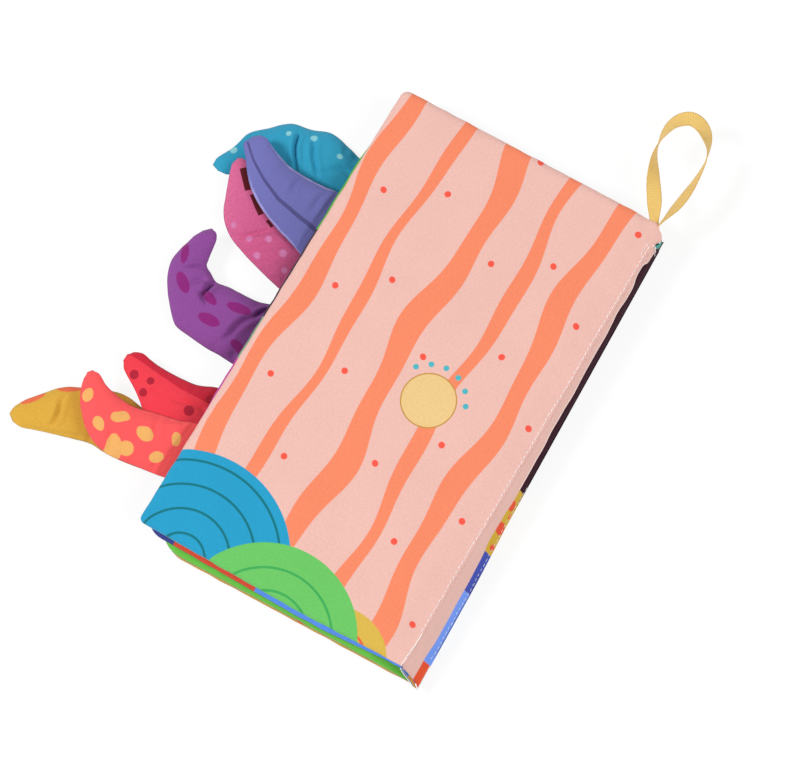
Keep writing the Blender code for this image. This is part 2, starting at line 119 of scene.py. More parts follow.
def add_node(tree, kind, inputs=None, **settings):
    """A shader node with its settings. Each of its inputs is given a socket to link to or a plain value."""
    node = tree.nodes.new(kind)
    for key, value in settings.items():
        setattr(node, key, value)
    for key, value in (inputs or {}).items():
        if isinstance(value, bpy.types.NodeSocket):
            tree.links.new(value, node.inputs[key])
        else:
            node.inputs[key].default_value = value
    return node


def new_material(name, roughness):
    """A Principled material: itself, its node tree and its shader."""
    material = bpy.data.materials.new(name)
    material.use_nodes = True
    shader = material.node_tree.nodes["Principled BSDF"]
    shader.inputs["Roughness"].default_value = roughness
    return material, material.node_tree, shader


class Field:
    """A number that varies over a surface."""

    def __init__(self, tree, socket):
        self.tree = tree
        self.socket = socket

    def math(self, operation, *others):
        values = [value.socket if isinstance(value, Field) else value for value in (self, *others)]
        node = add_node(self.tree, "ShaderNodeMath", dict(enumerate(values)), operation=operation)
        return Field(self.tree, node.outputs[0])

    def __add__(self, other):
        return self.math("ADD", other)

    def __sub__(self, other):
        return self.math("SUBTRACT", other)

    def __mul__(self, other):
        return self.math("MULTIPLY", other)

    def __truediv__(self, other):
        return self.math("DIVIDE", other)

    def __abs__(self):
        return self.math("ABSOLUTE")

    def least(self, other):
        return self.math("MINIMUM", other)

    def most(self, other):
        return self.math("MAXIMUM", other)

    def away(self, other):
        """Distance of a point with these two distances across and along."""
        return (self * self + other * other).math("SQRT")

    def sine(self, wavelength, phase=0.0):
        return (self * (2 * math.pi / wavelength) + phase).math("SINE")

    def wrapped(self, period):
        """Distance from the middle of each period."""
        return self.math("FLOORED_MODULO", period) - period / 2

    def curve(self, points, tall):
        """A smooth curve through points, each of them (value here, result), with results from 0 to tall."""
        low, high = points[0][0], points[-1][0]
        share = (self - low) / (high - low)
        node = add_node(self.tree, "ShaderNodeFloatCurve", {"Value": share.socket})
        line = node.mapping.curves[0]
        for end, (value, result) in zip(line.points, (points[0], points[-1])):
            end.location = ((value - low) / (high - low), result / tall)
        for value, result in points[1:-1]:
            line.points.new((value - low) / (high - low), result / tall)
        node.mapping.update()
        return Field(self.tree, node.outputs[0]) * tall

    def below(self, limit=0.0, soft=0.12):
        """1 where the field is under the limit, 0 above it."""
        ends = {"From Min": limit - soft, "From Max": limit + soft, "To Min": 1, "To Max": 0}
        inputs = {"Value": self.socket, **ends}
        node = add_node(self.tree, "ShaderNodeMapRange", inputs, interpolation_type="SMOOTHSTEP")
        return Field(self.tree, node.outputs[0])

    def above(self, limit=0.0, soft=0.12):
        return self.below(limit, soft) * -1 + 1


# Past every edge of the cloth, and where the painted shade on a tail starts, darkening its print towards its
# root
FAR = 400.0
TAIL_ROOT_X = -78.0


class Print:
    """A cloth material whose pattern is painted in millimetres on the flat cloth."""

    def __init__(self, name, ground, roughness=0.86, sheen=0.12, specular=0.25):
        self.material, self.tree, self.shader = new_material(name, roughness)
        self.shader.inputs["Sheen Weight"].default_value = sheen
        self.shader.inputs["Sheen Roughness"].default_value = 0.5
        self.shader.inputs["Specular IOR Level"].default_value = specular
        self.flat = self.node("ShaderNodeUVMap", uv_map="flat")
        split = add_node(self.tree, "ShaderNodeSeparateXYZ", {0: self.flat})
        self.x, self.y = (Field(self.tree, socket) for socket in split.outputs[:2])
        self.colour = linear(ground)

    def node(self, kind, inputs=None, output=0, **settings):
        """One output of a new node."""
        return add_node(self.tree, kind, inputs, **settings).outputs[output]

    def noise(self, size, detail=2.0, stretch=(1, 1)):
        """Cloudy noise from 0 to 1, with features of about that many millimetres."""
        vector = self.node("ShaderNodeMapping", {0: self.flat, "Scale": (*stretch, 1)})
        inputs = {"Vector": vector, "Scale": 1 / size, "Detail": detail}
        return Field(self.tree, self.node("ShaderNodeTexNoise", inputs, noise_dimensions="2D"))

    def spots(self, pitch, wobble=0.0, jitter=0.75):
        """Distance in millimetres from the nearest of many scattered spots."""
        inputs = {"Vector": self.flat, "Scale": 1 / pitch, "Randomness": jitter}
        socket = self.node("ShaderNodeTexVoronoi", inputs, "Distance", voronoi_dimensions="2D", feature="F1")
        distance = Field(self.tree, socket) * pitch
        if wobble:
            distance = distance + (self.noise(pitch * 0.45, 1.0) - 0.5) * wobble
        return distance

    def disc(self, x, y, wide, tall=None, turn=0.0):
        """Less than 1 inside an ellipse."""
        dx, dy = self.x - x, self.y - y
        cosine, sine = math.cos(turn), math.sin(turn)
        across = (dx * cosine + dy * sine) / wide
        along = (dy * cosine - dx * sine) / (tall or wide)
        return across.away(along)

    def beside(self, start, end):
        """How far along and across from a straight line the cloth is, and the line's length."""
        length = math.dist(start, end)
        ux, uy = (end[0] - start[0]) / length, (end[1] - start[1]) / length
        dx, dy = self.x - start[0], self.y - start[1]
        return dx * ux + dy * uy, dy * ux - dx * uy, length

    def bar(self, start, end, wide):
        """Less than 0 inside a straight bar with square ends."""
        along, across, length = self.beside(start, end)
        return (abs(along - length / 2) - length / 2).most(abs(across) - wide)

    def polyline(self, points):
        """Distance in millimetres from a line through several points."""
        nearest = None
        for start, end in zip(points, points[1:]):
            along, across, length = self.beside(start, end)
            part = across.away(along - along.most(0.0).least(length))
            nearest = nearest.least(part) if nearest else part
        return nearest

    def paint(self, colour, mask):
        inputs = {0: mask.socket, 6: self.colour, 7: linear(colour)}
        self.colour = self.node("ShaderNodeMix", inputs, 2, data_type="RGBA")

    def block(self, colour, left=-FAR, right=FAR, low=-FAR, high=FAR):
        """Paint a rectangle of the flat cloth."""
        across = (self.x - left).above() * (self.x - right).below()
        self.paint(colour, across * (self.y - low).above() * (self.y - high).below())

    def dots(self, places, colour, wide, soft=0.12):
        """Paint round dots of slightly uneven sizes."""
        for index, (x, y) in enumerate(places):
            size = 0.85 + 0.3 * math.modf(index * 0.618)[0]
            self.paint(colour, self.disc(x, y, wide * size).below(1.0, soft))

    def shade(self, amount):
        """Multiply the colour by a field."""
        grey = self.node("ShaderNodeCombineColor", dict.fromkeys(range(3), amount.socket))
        inputs = {0: 1, 6: self.colour, 7: grey}
        self.colour = self.node("ShaderNodeMix", inputs, 2, data_type="RGBA", blend_type="MULTIPLY")

    def finish(self, grain=0.10, weave=0.42, bump=0.35, cloud=0.05, root=0.0):
        """Add painted shade that darkens a tail towards its sewn root, the grain of the cloth, faint uneven
        dye, and the weave as a bump.
        """
        # Painted shade: the colour darkens towards the root where the tail is sewn into its leaf
        if root:
            self.shade((self.x - TAIL_ROOT_X).above(0.0, 14.0) * -root + 1.0)
        fine = self.noise(0.42)
        uneven = (fine - 0.5) * grain + (self.noise(1.1, 1.0) - 0.5) * grain + (self.noise(26.0) - 0.5) * cloud
        self.shade(uneven + 1.0)
        warp = self.x.sine(weave) * self.y.sine(weave)
        slub = self.noise(0.9, 1.0, (0.35, 1.6))
        height = warp * 0.5 + fine * 1.2 + slub * 0.6
        normal = self.node("ShaderNodeBump", {"Strength": bump, "Distance": 0.00012, "Height": height.socket})
        self.tree.links.new(self.colour, self.shader.inputs["Base Color"])
        self.tree.links.new(normal, self.shader.inputs["Normal"])
        return self.material


# Back cover. Stripes: middle, width, swing and phase. Hills: middle, radius, colour, and colour and pitch of
# the arcs. The sun stands in a ring of small dots.
COVER_STRIPES = (
    (-58.0, 8.0, 2.2, 0.3),
    (-33.0, 5.5, 1.8, 2.1),
    (-4.0, 11.0, 2.8, 4.0),
    (24.0, 6.5, 2.0, 5.4),
    (48.0, 9.5, 2.4, 1.2),
)
COVER_HILLS = (
    (-42.0, -121.0, 49.0, "229FCB", "0B7480", 11.0),
    (38.0, -127.0, 24.0, "DDB84C", "EE6442", 8.0),
    (7.0, -132.0, 41.0, "6CC864", "3FAD58", 10.0),
)
SUN_AT = (17.0, -6.0)
SUN_RADIUS = 12.0
SUN_RIM = 0.6
SUN_RING = 16.5


def paint_stripes(p):
    for x, wide, swing, phase in COVER_STRIPES:
        middle = p.y.sine(118.0, phase) * swing + p.y.sine(47.0, phase * 2.0) * (swing * 0.35) + x
        width = p.y.sine(83.0, phase * 3.0) * (wide * 0.10) + wide / 2
        p.paint("F98B66", (abs(p.x - middle) - width).below(0.0, 0.15))
        down = (p.y + phase * 17.0).wrapped(41.0 + wide)
        across = p.x - middle - wide * 0.5 - 6.0
        p.paint("FB5A48", across.away(down).below(1.5, 0.15))


def paint_hills(p):
    for x, y, radius, ground, arcs, pitch in COVER_HILLS:
        away = p.disc(x, y, 1.0)
        p.paint(ground, (away - radius).below(0.0, 0.15))
        lines = (abs((away - radius * 0.12).wrapped(pitch)) - 0.55).below(0.0, 0.15)
        p.paint(arcs, lines * (away - radius + 3.0).below(0.0, 0.15))


def paint_sun(p):
    away = p.disc(*SUN_AT, 1.0)
    p.paint("C9953F", (away - SUN_RADIUS - SUN_RIM).below())
    p.paint("EFCB8B", (away - SUN_RADIUS).below())
    for index in range(6):
        turn = math.radians(20 + index * 24)
        x, y = SUN_AT[0] + SUN_RING * math.cos(turn), SUN_AT[1] + SUN_RING * math.sin(turn)
        p.paint("4FB8C4", p.disc(x, y, 1.3).below(1.0, 0.1))


def cover_print():
    p = Print("back_cover_print", "F0BFB4")
    paint_stripes(p)
    paint_hills(p)
    paint_sun(p)
    # Painted shade: the cloth past the upper stitch line is darkened a little, as if it sloped away from the
    # light over the fold
    p.shade((p.x - STITCH_X).above(0.0, 0.3) * -0.05 + 1.0)
    return p.finish(grain=0.14, cloud=0.06)


# Insides of the covers, and the pages


def back_cover_lining_print():
    p = Print("back_cover_lining_print", "5B93EE")
    p.paint("8FC0F4", (abs(p.spots(31.0, jitter=0.5) - 8.0) - 1.6).below())
    for colour, low, high in (
        ("5FB53F", 38.7, FAR),
        ("43303A", -8.0, 38.7),
        ("7FA584", -30.0, -8.0),
        ("C84FA0", -62.0, -30.0),
        ("7C3A33", -FAR, -62.0),
    ):
        p.block(colour, right=-57.0, low=low, high=high)
    p.block("9FD9DC", high=-107.0)
    return p.finish()


def back_page_print():
    p = Print("back_page_print", "D94B2B")
    inside = (p.y + 104.0).above()
    p.paint("F2B23C", p.spots(24.0).below(4.2) * inside)
    p.paint("FBD98A", p.spots(24.0).below(1.9) * inside)
    p.block("39408C", right=-48.5, high=-92.0)
    p.block("5B93EE", left=-7.0, high=-92.0)
    p.block("5FA898", left=50.0, low=100.0)
    return p.finish()


def back_page_lining_print():
    p = Print("back_page_lining_print", "2D3377")
    p.paint("F4E9B8", p.spots(19.0).below(1.3))
    p.paint("5560B4", (abs(p.spots(38.0, jitter=0.4) - 12.0) - 1.0).below())
    return p.finish()


def front_page_print():
    p = Print("front_page_print", "6CC646")
    wave = (p.y + p.x.sine(46.0) * 4.0).wrapped(23.0)
    p.paint("3F9A4A", (abs(wave) - 2.4).below())
    p.paint("F1EFD8", p.spots(22.0).below(1.6))
    return p.finish()


def front_page_lining_print():
    p = Print("front_page_lining_print", "4A8BDD")
    wave = (p.y + p.x.sine(34.0) * 3.0).wrapped(18.0)
    p.paint("A9D3F5", (abs(wave) - 1.2).below())
    return p.finish()


def front_cover_lining_print():
    p = Print("front_cover_lining_print", "C9A83E")
    p.paint("E2763C", p.spots(26.0, wobble=2.0).below(4.6))
    return p.finish()


# Front cover and spine. Blocks: colour, and their low and high end along the book. Discs: place down the
# strip and along the book, half width and half height.
SPINE_BLOCKS = (
    ("35101F", -19.3, FAR),
    ("D9B13F", -50.5, -19.3),
    ("4A57B8", -70.0, -50.5),
    ("7BA2FC", -105.5, -70.0),
    ("EE5A36", -FAR, -105.5),
)
SPINE_DISCS = (
    (7.8, -27.0, 2.7, 2.5),
    (8.6, -38.3, 4.1, 2.9),
    (10.6, -31.3, 1.2, 1.2),
    (10.5, -47.2, 2.0, 1.5),
)

# Where the peach of the spine gives way to the coloured blocks: (along the book, down the strip)
BLOCK_EDGE = (
    *((-116.0, 8.0), (-104.0, 8.0), (-88.0, 8.2), (-74.0, 7.7), (-60.0, 7.3), (-50.0, 6.5), (-43.0, 5.6)),
    *((-33.0, 6.0), (-20.0, 6.9), (0.0, 6.4), (20.0, 5.5), (42.0, 5.0), (60.0, 4.3), (66.0, 4.1), (73.0, 2.9)),
    *((80.0, 3.9), (87.0, 2.4), (92.5, 0.9), (97.0, 2.6), (102.0, 5.0), (106.0, 3.6), (116.0, 2.5)),
)


def paint_blocks(p, mask):
    for colour, low, high in SPINE_BLOCKS:
        p.paint(colour, mask * (p.y - low).above() * (p.y - high).below())
    for x, y, wide, tall in SPINE_DISCS:
        p.paint("EE5A3E", p.disc(x, y, wide, tall).below(1.0, 0.06) * mask)


def front_cover_print():
    p = Print("front_cover_print", "35101F")
    paint_blocks(p, p.y.below(FAR))
    return p.finish()


def spine_print():
    """Flat x is the distance down the spine from the upper stitch line's axis."""
    # Painted light: the peach is a little lighter than the back cover's, making up for the shade on the steep
    # strip
    p = Print("spine_print", "F1C4B9", sheen=0.03, specular=0.08)
    edge = p.y.curve(BLOCK_EDGE, 10.0)
    paint_blocks(p, (p.x - edge).above(0.0, 0.15))
    # Painted highlight: a thin light pink line where the peach meets the blocks, like light catching a raised
    # fabric edge
    edge_highlight = (abs(p.x - edge + 0.4) - 0.38).below()
    p.paint("FFE6DF", edge_highlight * (p.y - SPINE_BLOCKS[0][1]).above())
    # A thin dark navy line along the strip's silhouette low down: partly the dark cloth's edge beneath, partly
    # painted shade where the strip turns away
    navy_line = (abs(p.x - (p.y + 40.0) * -0.0129 - 12.9) - 0.4).below(0.0, 0.1)
    p.paint("2B3470", navy_line * (p.y + 58.0).below(0.0, 6.0) * (p.y + 101.0).above(0.0, 3.0))
    return p.finish()


def spine_page_print():
    p = Print("spine_page_print", "2A2F5E")
    p.block("4FA79A", low=98.0)
    p.block("3F8FE0", high=-104.0)
    p.block("EBA838", left=5.5, high=-104.0)
    return p.finish()


def spine_lining_print():
    return Print("spine_lining_print", "7FB2EE").finish()


def cover_edge_print():
    p = Print("cover_edge_print", "4A78D0")
    p.block("E9B9AE", low=0.0)
    p.block("35101F", left=3.2, low=0.0)
    return p.finish()


def page_edge_print():
    p = Print("page_edge_print", "F0AE40")
    p.block("4FA79A", low=0.0)
    return p.finish()


def lining_edge_print():
    return Print("lining_edge_print", "F1EFEA").finish()


# Tails


def teal_tail_print():
    p = Print("teal_tail_print", "2E9EC2")
    places = [(-105.5, 74.2), (-94.3, 78.0), (-79.2, 76.2), (-123.9, 55.8), (-116.1, 65.9)]
    p.dots(places, "8CCFD8", 1.5, soft=0.25)
    return p.finish(grain=0.17, root=0.06)


VIOLET_STRIPE = (
    (-63.0, 37.6), (-68.4, 38.9), (-79.3, 40.4), (-90.7, 42.9),
    (-101.3, 47.8), (-110.7, 53.4), (-117.5, 59.4),
)
VIOLET_LOW_EDGE = (
    (-64.9, 24.6), (-74.5, 27.9), (-82.7, 30.3), (-91.6, 33.8),
    (-98.1, 37.1), (-104.8, 41.9), (-110.1, 47.5),
)
VIOLET_HIGH_EDGE = (
    (-64.9, 59.6), (-75.8, 58.9), (-83.2, 58.7),
    (-93.3, 59.3), (-101.6, 61.7), (-107.8, 64.3),
)


def violet_tail_print():
    p = Print("violet_tail_print", "7272B8")
    p.paint("54508A", (p.polyline(VIOLET_STRIPE) + (p.x + 90.0) * -0.012).below(0.85, 0.15))
    low_edge = p.polyline(VIOLET_LOW_EDGE).below(0.35, 0.25) * (p.x + 106.0).above(0.0, 5.0)
    p.paint("B9B4F0", low_edge * 0.7)
    p.paint("B9B4F0", p.polyline(VIOLET_HIGH_EDGE).below(0.4, 0.25) * 0.7)
    # Painted shade: the violet darkens towards the root
    p.shade((p.x + 98.0).above(0.0, 14.0) * -0.12 + 1.0)
    return p.finish(grain=0.17, root=0.05)


def pink_tail_print():
    p = Print("pink_tail_print", "DA6896")
    # Painted shade: a darker, deeper pink that grows towards the root
    p.paint("B83F76", (p.x + 101.0).above(0.0, 16.0) * 0.45)
    places = [(-103.6, 23.8), (-87.0, 16.4), (-85.8, 25.7), (-76.8, 23.2), (-93.9, 21.7), (-72.3, 16.5)]
    p.dots(places, "D67FB2", 1.6, soft=0.35)
    for start, end, wide in (
        ((-114.3, 49.2), (-106.3, 41.3), 1.6),
        ((-103.7, 40.7), (-95.0, 34.3), 1.35),
        ((-91.2, 33.6), (-87.6, 31.7), 0.85),
    ):
        p.paint("5A0612", p.bar(start, end, wide).below())
    return p.finish(grain=0.32, bump=0.5, root=0.18)


def purple_tail_print():
    p = Print("purple_tail_print", "8E4998")
    for x, y, wide, tall, turn in (
        (-116.1, 1.6, 1.9, 5.2, 25),
        (-109.1, -10.7, 2.6, 5.6, 55),
        (-94.4, -11.0, 2.0, 4.4, 70),
        (-80.5, -8.8, 2.5, 5.8, 98),
        (-89.5, -20.0, 2.6, 5.3, 92),
        (-71.5, -24.5, 2.3, 4.6, 75),
    ):
        p.paint("8C1F78", p.disc(x, y, wide, tall, math.radians(turn)).below(1.0, 0.08))
    return p.finish(grain=0.20, root=0.24)


def red_tail_print():
    p = Print("red_tail_print", "F03C4C")
    # The band above the ridge line is painted a darker crimson: partly the cloth's own colour, partly painted
    # shade on the face turned away from the light
    ridge = p.y + 53.2 - ((p.x + 84.8) * -1.0).most(0.0) * 0.066
    p.paint("D2223A", ridge.above(0.0, 0.2))
    p.dots([(-97.8, -57.3), (-106.2, -58.4), (-98.4, -63.5), (-75.6, -60.3), (-70.0, -51.0)], "B01C33", 2.1)
    return p.finish(grain=0.13, root=0.10)


def coral_tail_print():
    p = Print("coral_tail_print", "FF5A5C")
    for index, (x, y, wide) in enumerate((
        (-118.0, -77.3, 2.4),
        (-106.5, -85.6, 2.5),
        (-99.4, -78.0, 3.0),
        (-95.0, -92.0, 4.5),
        (-85.6, -80.1, 3.2),
        (-75.5, -86.2, 2.6),
        (-72.5, -74.8, 2.3),
    )):
        away = p.disc(x, y, wide, wide * 1.35, index * 1.1) + (p.noise(5.0, 0.0) - 0.5) * 0.5
        p.paint("F2B265", away.below(1.0, 0.06))
    p.paint("F2B265", p.disc(-89.8, -89.6, 3.5).below(1.0, 0.06))
    return p.finish(grain=0.12)


def yellow_tail_print():
    p = Print("yellow_tail_print", "DDAB3E")
    p.paint("EE7046", p.disc(-129.6, -76.2, 6.2, 2.4, math.radians(30)).below(1.0, 0.05))
    p.paint("EE7046", p.disc(-142.0, -88.6, 6.0, 2.2, math.radians(51)).below(1.0, 0.05))
    return p.finish(grain=0.17, root=0.16)


# Thread, ribbon and fillings

RIB_PITCH = 0.72


def thread_print():
    return Print("thread_print", "FFFFFF", roughness=0.6).finish(grain=0.04, weave=0.25, bump=0.3)


def ribbon_print():
    p = Print("grosgrain_print", "F3CB74", roughness=0.6, sheen=0.3)
    # Painted light and shade: the colour goes lighter and darker with each rib, as light falls across the ribs
    p.shade(p.x.sine(RIB_PITCH) * 0.12 + 0.96)
    p.paint("DDAD56", (abs(p.y) - 2.9).above(0.0, 0.1) * 0.6)
    return p.finish(grain=0.05, weave=0.3, bump=0.3)


def filling_material(name, colour, roughness, scale, bump):
    """Plain noisy material of a filling that stays a CAD node."""
    material, tree, shader = new_material(name, roughness)
    where = add_node(tree, "ShaderNodeTexCoord").outputs["Object"]
    noise = add_node(tree, "ShaderNodeTexNoise", {"Vector": where, "Scale": scale}).outputs[0]
    light = linear(colour)
    dark = (*[0.85 * value for value in light[:3]], 1)
    mix = add_node(tree, "ShaderNodeMix", {0: noise, 6: light, 7: dark}, data_type="RGBA")
    normal = add_node(tree, "ShaderNodeBump", {"Height": noise, "Distance": bump})
    tree.links.new(mix.outputs[2], shader.inputs["Base Color"])
    tree.links.new(normal.outputs[0], shader.inputs["Normal"])
    return material


# Geometry helpers


def smoothstep(t):
    t = np.clip(t, 0.0, 1.0)
    return t * t * (3 - 2 * t)


def crown(t):
    """Quarter circle from 0 to 1."""
    t = np.clip(t, 0.0, 1.0)
    return np.sqrt(1 - (1 - t) ** 2)


def bell(t):
    return np.exp(-(t**2))


def run_along(line):
    """How far along a line each of its points is."""
    return np.concatenate([[0], np.cumsum(np.linalg.norm(np.diff(line, axis=0), axis=1))])


def catmull(points, shares):
    """Points on a smooth curve through all the given points, at shares of its length."""
    points = np.asarray(points, float)
    padded = np.vstack([2 * points[0] - points[1], points, 2 * points[-1] - points[-2]])
    dense = []
    for i in range(len(points) - 1):
        p0, p1, p2, p3 = padded[i : i + 4]
        for t in np.linspace(0, 1, 12, endpoint=False):
            curve = 2 * p1 + (p2 - p0) * t + (2 * p0 - 5 * p1 + 4 * p2 - p3) * t**2
            dense.append(0.5 * (curve + (3 * p1 - p0 - 3 * p2 + p3) * t**3))
    dense = np.array([*dense, points[-1]])
    run = run_along(dense)
    return np.stack([np.interp(np.asarray(shares) * run[-1], run, values) for values in dense.T], axis=1)


def hashed(values, seed):
    """Numbers from 0 to 1 that look random but come out the same each run."""
    return np.modf(np.abs(np.sin(np.asarray(values) * 127.1 + seed * 311.7) * 43758.5453))[0]


def ripple(along, wavelength, seed):
    """A wave of uneven height and spacing along an edge, about -1 to 1."""
    a = np.sin(2 * np.pi * along / wavelength + seed)
    b = np.sin(2 * np.pi * along / (wavelength * 1.73) + seed * 2.3)
    c = np.sin(2 * np.pi * along / (wavelength * 4.1) + seed * 3.7)
    return (a + 0.7 * b) * (0.6 + 0.4 * c) / 1.5


def grid_faces(rows, columns, flip=False):
    faces = []
    for i in range(rows - 1):
        for j in range(columns - 1):
            a = i * columns + j
            quad = (a, a + columns, a + columns + 1, a + 1)
            faces.append(quad[::-1] if flip else quad)
    return faces


def new_mesh(name, points, faces, flat, material):
    """A smooth mesh from book millimetres, with the flat cloth's millimetres as its map."""
    mesh = bpy.data.meshes.new(name)
    mesh.from_pydata(place(points).tolist(), [], faces)
    layer = mesh.uv_layers.new(name="flat")
    corners = np.empty(len(mesh.loops), dtype=np.int32)
    mesh.loops.foreach_get("vertex_index", corners)
    layer.data.foreach_set("uv", np.asarray(flat, np.float32)[corners].ravel())
    mesh.polygons.foreach_set("use_smooth", np.ones(len(mesh.polygons), dtype=bool))
    mesh.materials.append(material)
    mesh.update()
    return link(bpy.data.objects.new(name, mesh))


def new_sheet(name, points, flat, material, thickness, offset=0, flip=False):
    """A cloth from a grid of points, thickened on one side or on both."""
    rows, columns = points.shape[:2]
    faces = grid_faces(rows, columns, flip)
    obj = new_mesh(name, points.reshape(-1, 3), faces, flat.reshape(-1, 2), material)
    modifier = obj.modifiers.new("cloth_thickness", "SOLIDIFY")
    modifier.thickness = thickness / 1000
    modifier.offset = offset
    return obj


# Leaves. fore: place of the fore edge, half: half the height, low and high: radii of the fore corners,
# root_corner: radius of the far corner at the spine. SAG is how far a leaf's low fore corner hangs down the
# page, and RISE how far its low end is drawn up at the spine.
LEAVES = {
    "front_cover": {"layer": 0, "fore": -60.5, "half": 116.0, "low": 14.0, "high": 6.0, "root_corner": 8.0},
    "front_page": {"layer": 1, "fore": -61.5, "half": 115.8, "low": 14.0, "high": 6.0, "root_corner": 6.5},
    "back_page": {"layer": 2, "fore": -65.9, "half": 115.2, "low": 11.0, "high": 6.0, "root_corner": 4.8},
    "back_cover": {"layer": 3, "fore": -66.5, "half": 115.0, "low": 2.5, "high": 4.0, "root_corner": 2.6},
}
SAG = {"back_page": 1.1}
RISE = {"back_page": 1.2, "back_cover": 1.6}
TOP_LAYER = 3
PANEL_PRINTS = {
    "back_cover_outer_panel": (cover_print, "back_cover_print"),
    "back_cover_inner_panel": (back_cover_lining_print, "blue_page_print"),
    "back_page_outer_panel": (back_page_print, "red_page_print"),
    "back_page_inner_panel": (back_page_lining_print, "navy_page_print"),
    "front_page_outer_panel": (front_page_lining_print, "blue_page_print"),
    "front_page_inner_panel": (front_page_print, "green_page_print"),
    "front_cover_outer_panel": (front_cover_print, "front_cover_print"),
    "front_cover_inner_panel": (front_cover_lining_print, "ochre_page_print"),
}

# How deep under its leaf's hinge a face is sewn: the face by the hinge, a cover's and a page's other face
NEAR_DEPTH = 0.2
COVER_DEPTH = 1.3
PAGE_DEPTH = 1.1

# Grid lines over a leaf, which lie closer together at its seams
STEP = 1.6
EDGE_STEPS = (0.0, 0.12, 0.35, 0.7, 1.15, 1.75, 2.5, 3.4, 4.5, 5.8)

# Cloth at a leaf's seams: run and least height of its pillowed edge, and the waves that sewing puts in, each
# with its height and wavelength
EDGE_RUN = 4.2
SEAM_LIFT = 0.25
SEAM_FADE = 3.5
SEAM_PUCKER = (0.22, 9.5)
SEAM_SWELL = (0.10, 7.0)
SEAM_SHIFT = (0.16, 12.0)

# Gentle waves over the top of the book: height, waves across and along it, and phase
TOP_WAVES = (
    (0.34, 0.050, 0.031, 1.0),
    (0.30, -0.034, 0.062, 2.2),
    (0.22, 0.088, -0.049, 0.5),
    (0.16, 0.125, 0.094, 4.0),
)

# The lip of a cover that turns round its hinge: radius, and how far the back cover's bulges near its high end
LIP_RADIUS = 1.3
TOP_LIP_RADIUS = 0.88
LIP_BULGE = 1.9
LIP_FROM = 104.0


def turn_low(points):
    """Turn points of the two lower leaves, which lie a little askew."""
    cosine, sine = math.cos(SKEW), math.sin(SKEW)
    out = points.copy()
    dx = points[..., 0] - LOW_HINGE[0]
    out[..., 0] = LOW_HINGE[0] + dx * cosine - points[..., 1] * sine
    out[..., 1] = dx * sine + points[..., 1] * cosine
    return out


def graded(low, high, soft_high=True):
    """Grid lines that are close together near the edges."""
    start = low + np.array(EDGE_STEPS)
    end = high - np.array(EDGE_STEPS[::-1]) if soft_high else np.array([high - STEP, high])
    count = int(round((end[0] - start[-1]) / STEP))
    middle = np.linspace(start[-1], end[0], count + 1)[1:-1]
    return np.concatenate([start, middle, end])


def is_cover(leaf):
    return leaf["layer"] in (0, TOP_LAYER)


def hinge_of(leaf):
    return UP_HINGE if leaf["layer"] >= 2 else LOW_HINGE


def near_side(leaf):
    """The side of a leaf that its hinge is on: 1 is up."""
    return 1 if leaf["layer"] in (0, 2) else -1


def face_height(leaf, side, from_root):
    """Height of a face before its edges are pillowed."""
    near = side == near_side(leaf)
    flat = HALF_LEAF + leaf["layer"] * LEAF_PITCH + side * HALF_LEAF
    depth = NEAR_DEPTH if near else (COVER_DEPTH if is_cover(leaf) else PAGE_DEPTH)
    sewn = hinge_of(leaf)[1] - near_side(leaf) * depth
    run = PINCH_RUN if near or is_cover(leaf) else RISE_RUN
    return sewn + (flat - sewn) * smoothstep(from_root / run)


def lining_roll(x, y, from_fore):
    """How far the under cloth of the back cover rolls out past the seam of its top cloth."""
    middle = smoothstep((y + 66) / 20) * smoothstep((88 - y) / 12)
    fore = 1.5 + 1.0 * middle + 0.15 * ripple(y, 11.0, 4.0)
    return np.where(from_fore, fore, 0.5 * smoothstep((UP_HINGE[0] - 3 - x) / 10))


def stitch_relief(x, y):
    """What the upper stitch line does to the height of the top cloth: a groove, soft puckers and a slope."""
    groove = bell((x - STITCH_X) / 1.1) * (0.20 + 0.06 * np.sin(2 * np.pi * y / 2.45))
    dip = 0.25 * bell((x - 59.5) / 3.5) * (0.6 + 0.4 * ripple(y, 13.0, 3.0))
    puckers = 0.18 * bell((x - STITCH_X) / 9.0) * ripple(y + 0.5 * x, 8.5, 1.0)
    return puckers - groove - dip - 0.30 * smoothstep((x - 64.2) / 2.2)


def round_corners(leaf, x, y):
    """Draw the fore corners of a square grid in to the leaf's round ones."""
    radius = np.where(y > 0, leaf["high"], leaf["low"])
    corner_x = leaf["fore"] + radius
    corner_y = np.sign(y) * (leaf["half"] - radius)
    across = (x - corner_x) / radius
    along = (y - corner_y) / radius
    length = np.hypot(across, along)
    inside = (across < 0) & (along * np.sign(y) > 0) & (length > 0)
    pull = np.maximum(np.abs(across), np.abs(along)) / np.maximum(length, 1e-9)
    return (
        np.where(inside, corner_x + across * pull * radius, x),
        np.where(inside, corner_y + along * pull * radius, y),
    )


def round_root(leaf, y, from_root):
    """Draw the spine end of a leaf's far edge in to a round corner."""
    half, radius = leaf["half"], leaf["root_corner"]
    into = np.clip(radius - from_root, 0, radius)
    limit = half - radius + np.sqrt(radius**2 - into**2)
    start = half - radius - 8
    return np.where(y > start, start + (y - start) * (limit - start) / (half - start), y)


def let_down(name, x, y):
    """Let the low end of a leaf sag at the fore edge, and draw it up at the spine."""
    y = y - SAG.get(name, 0) * smoothstep((-70 - y) / 40) * smoothstep((60 - x) / 40)
    return y + RISE.get(name, 0) * smoothstep((x - 10) / 56) * smoothstep((-80 - y) / 35)


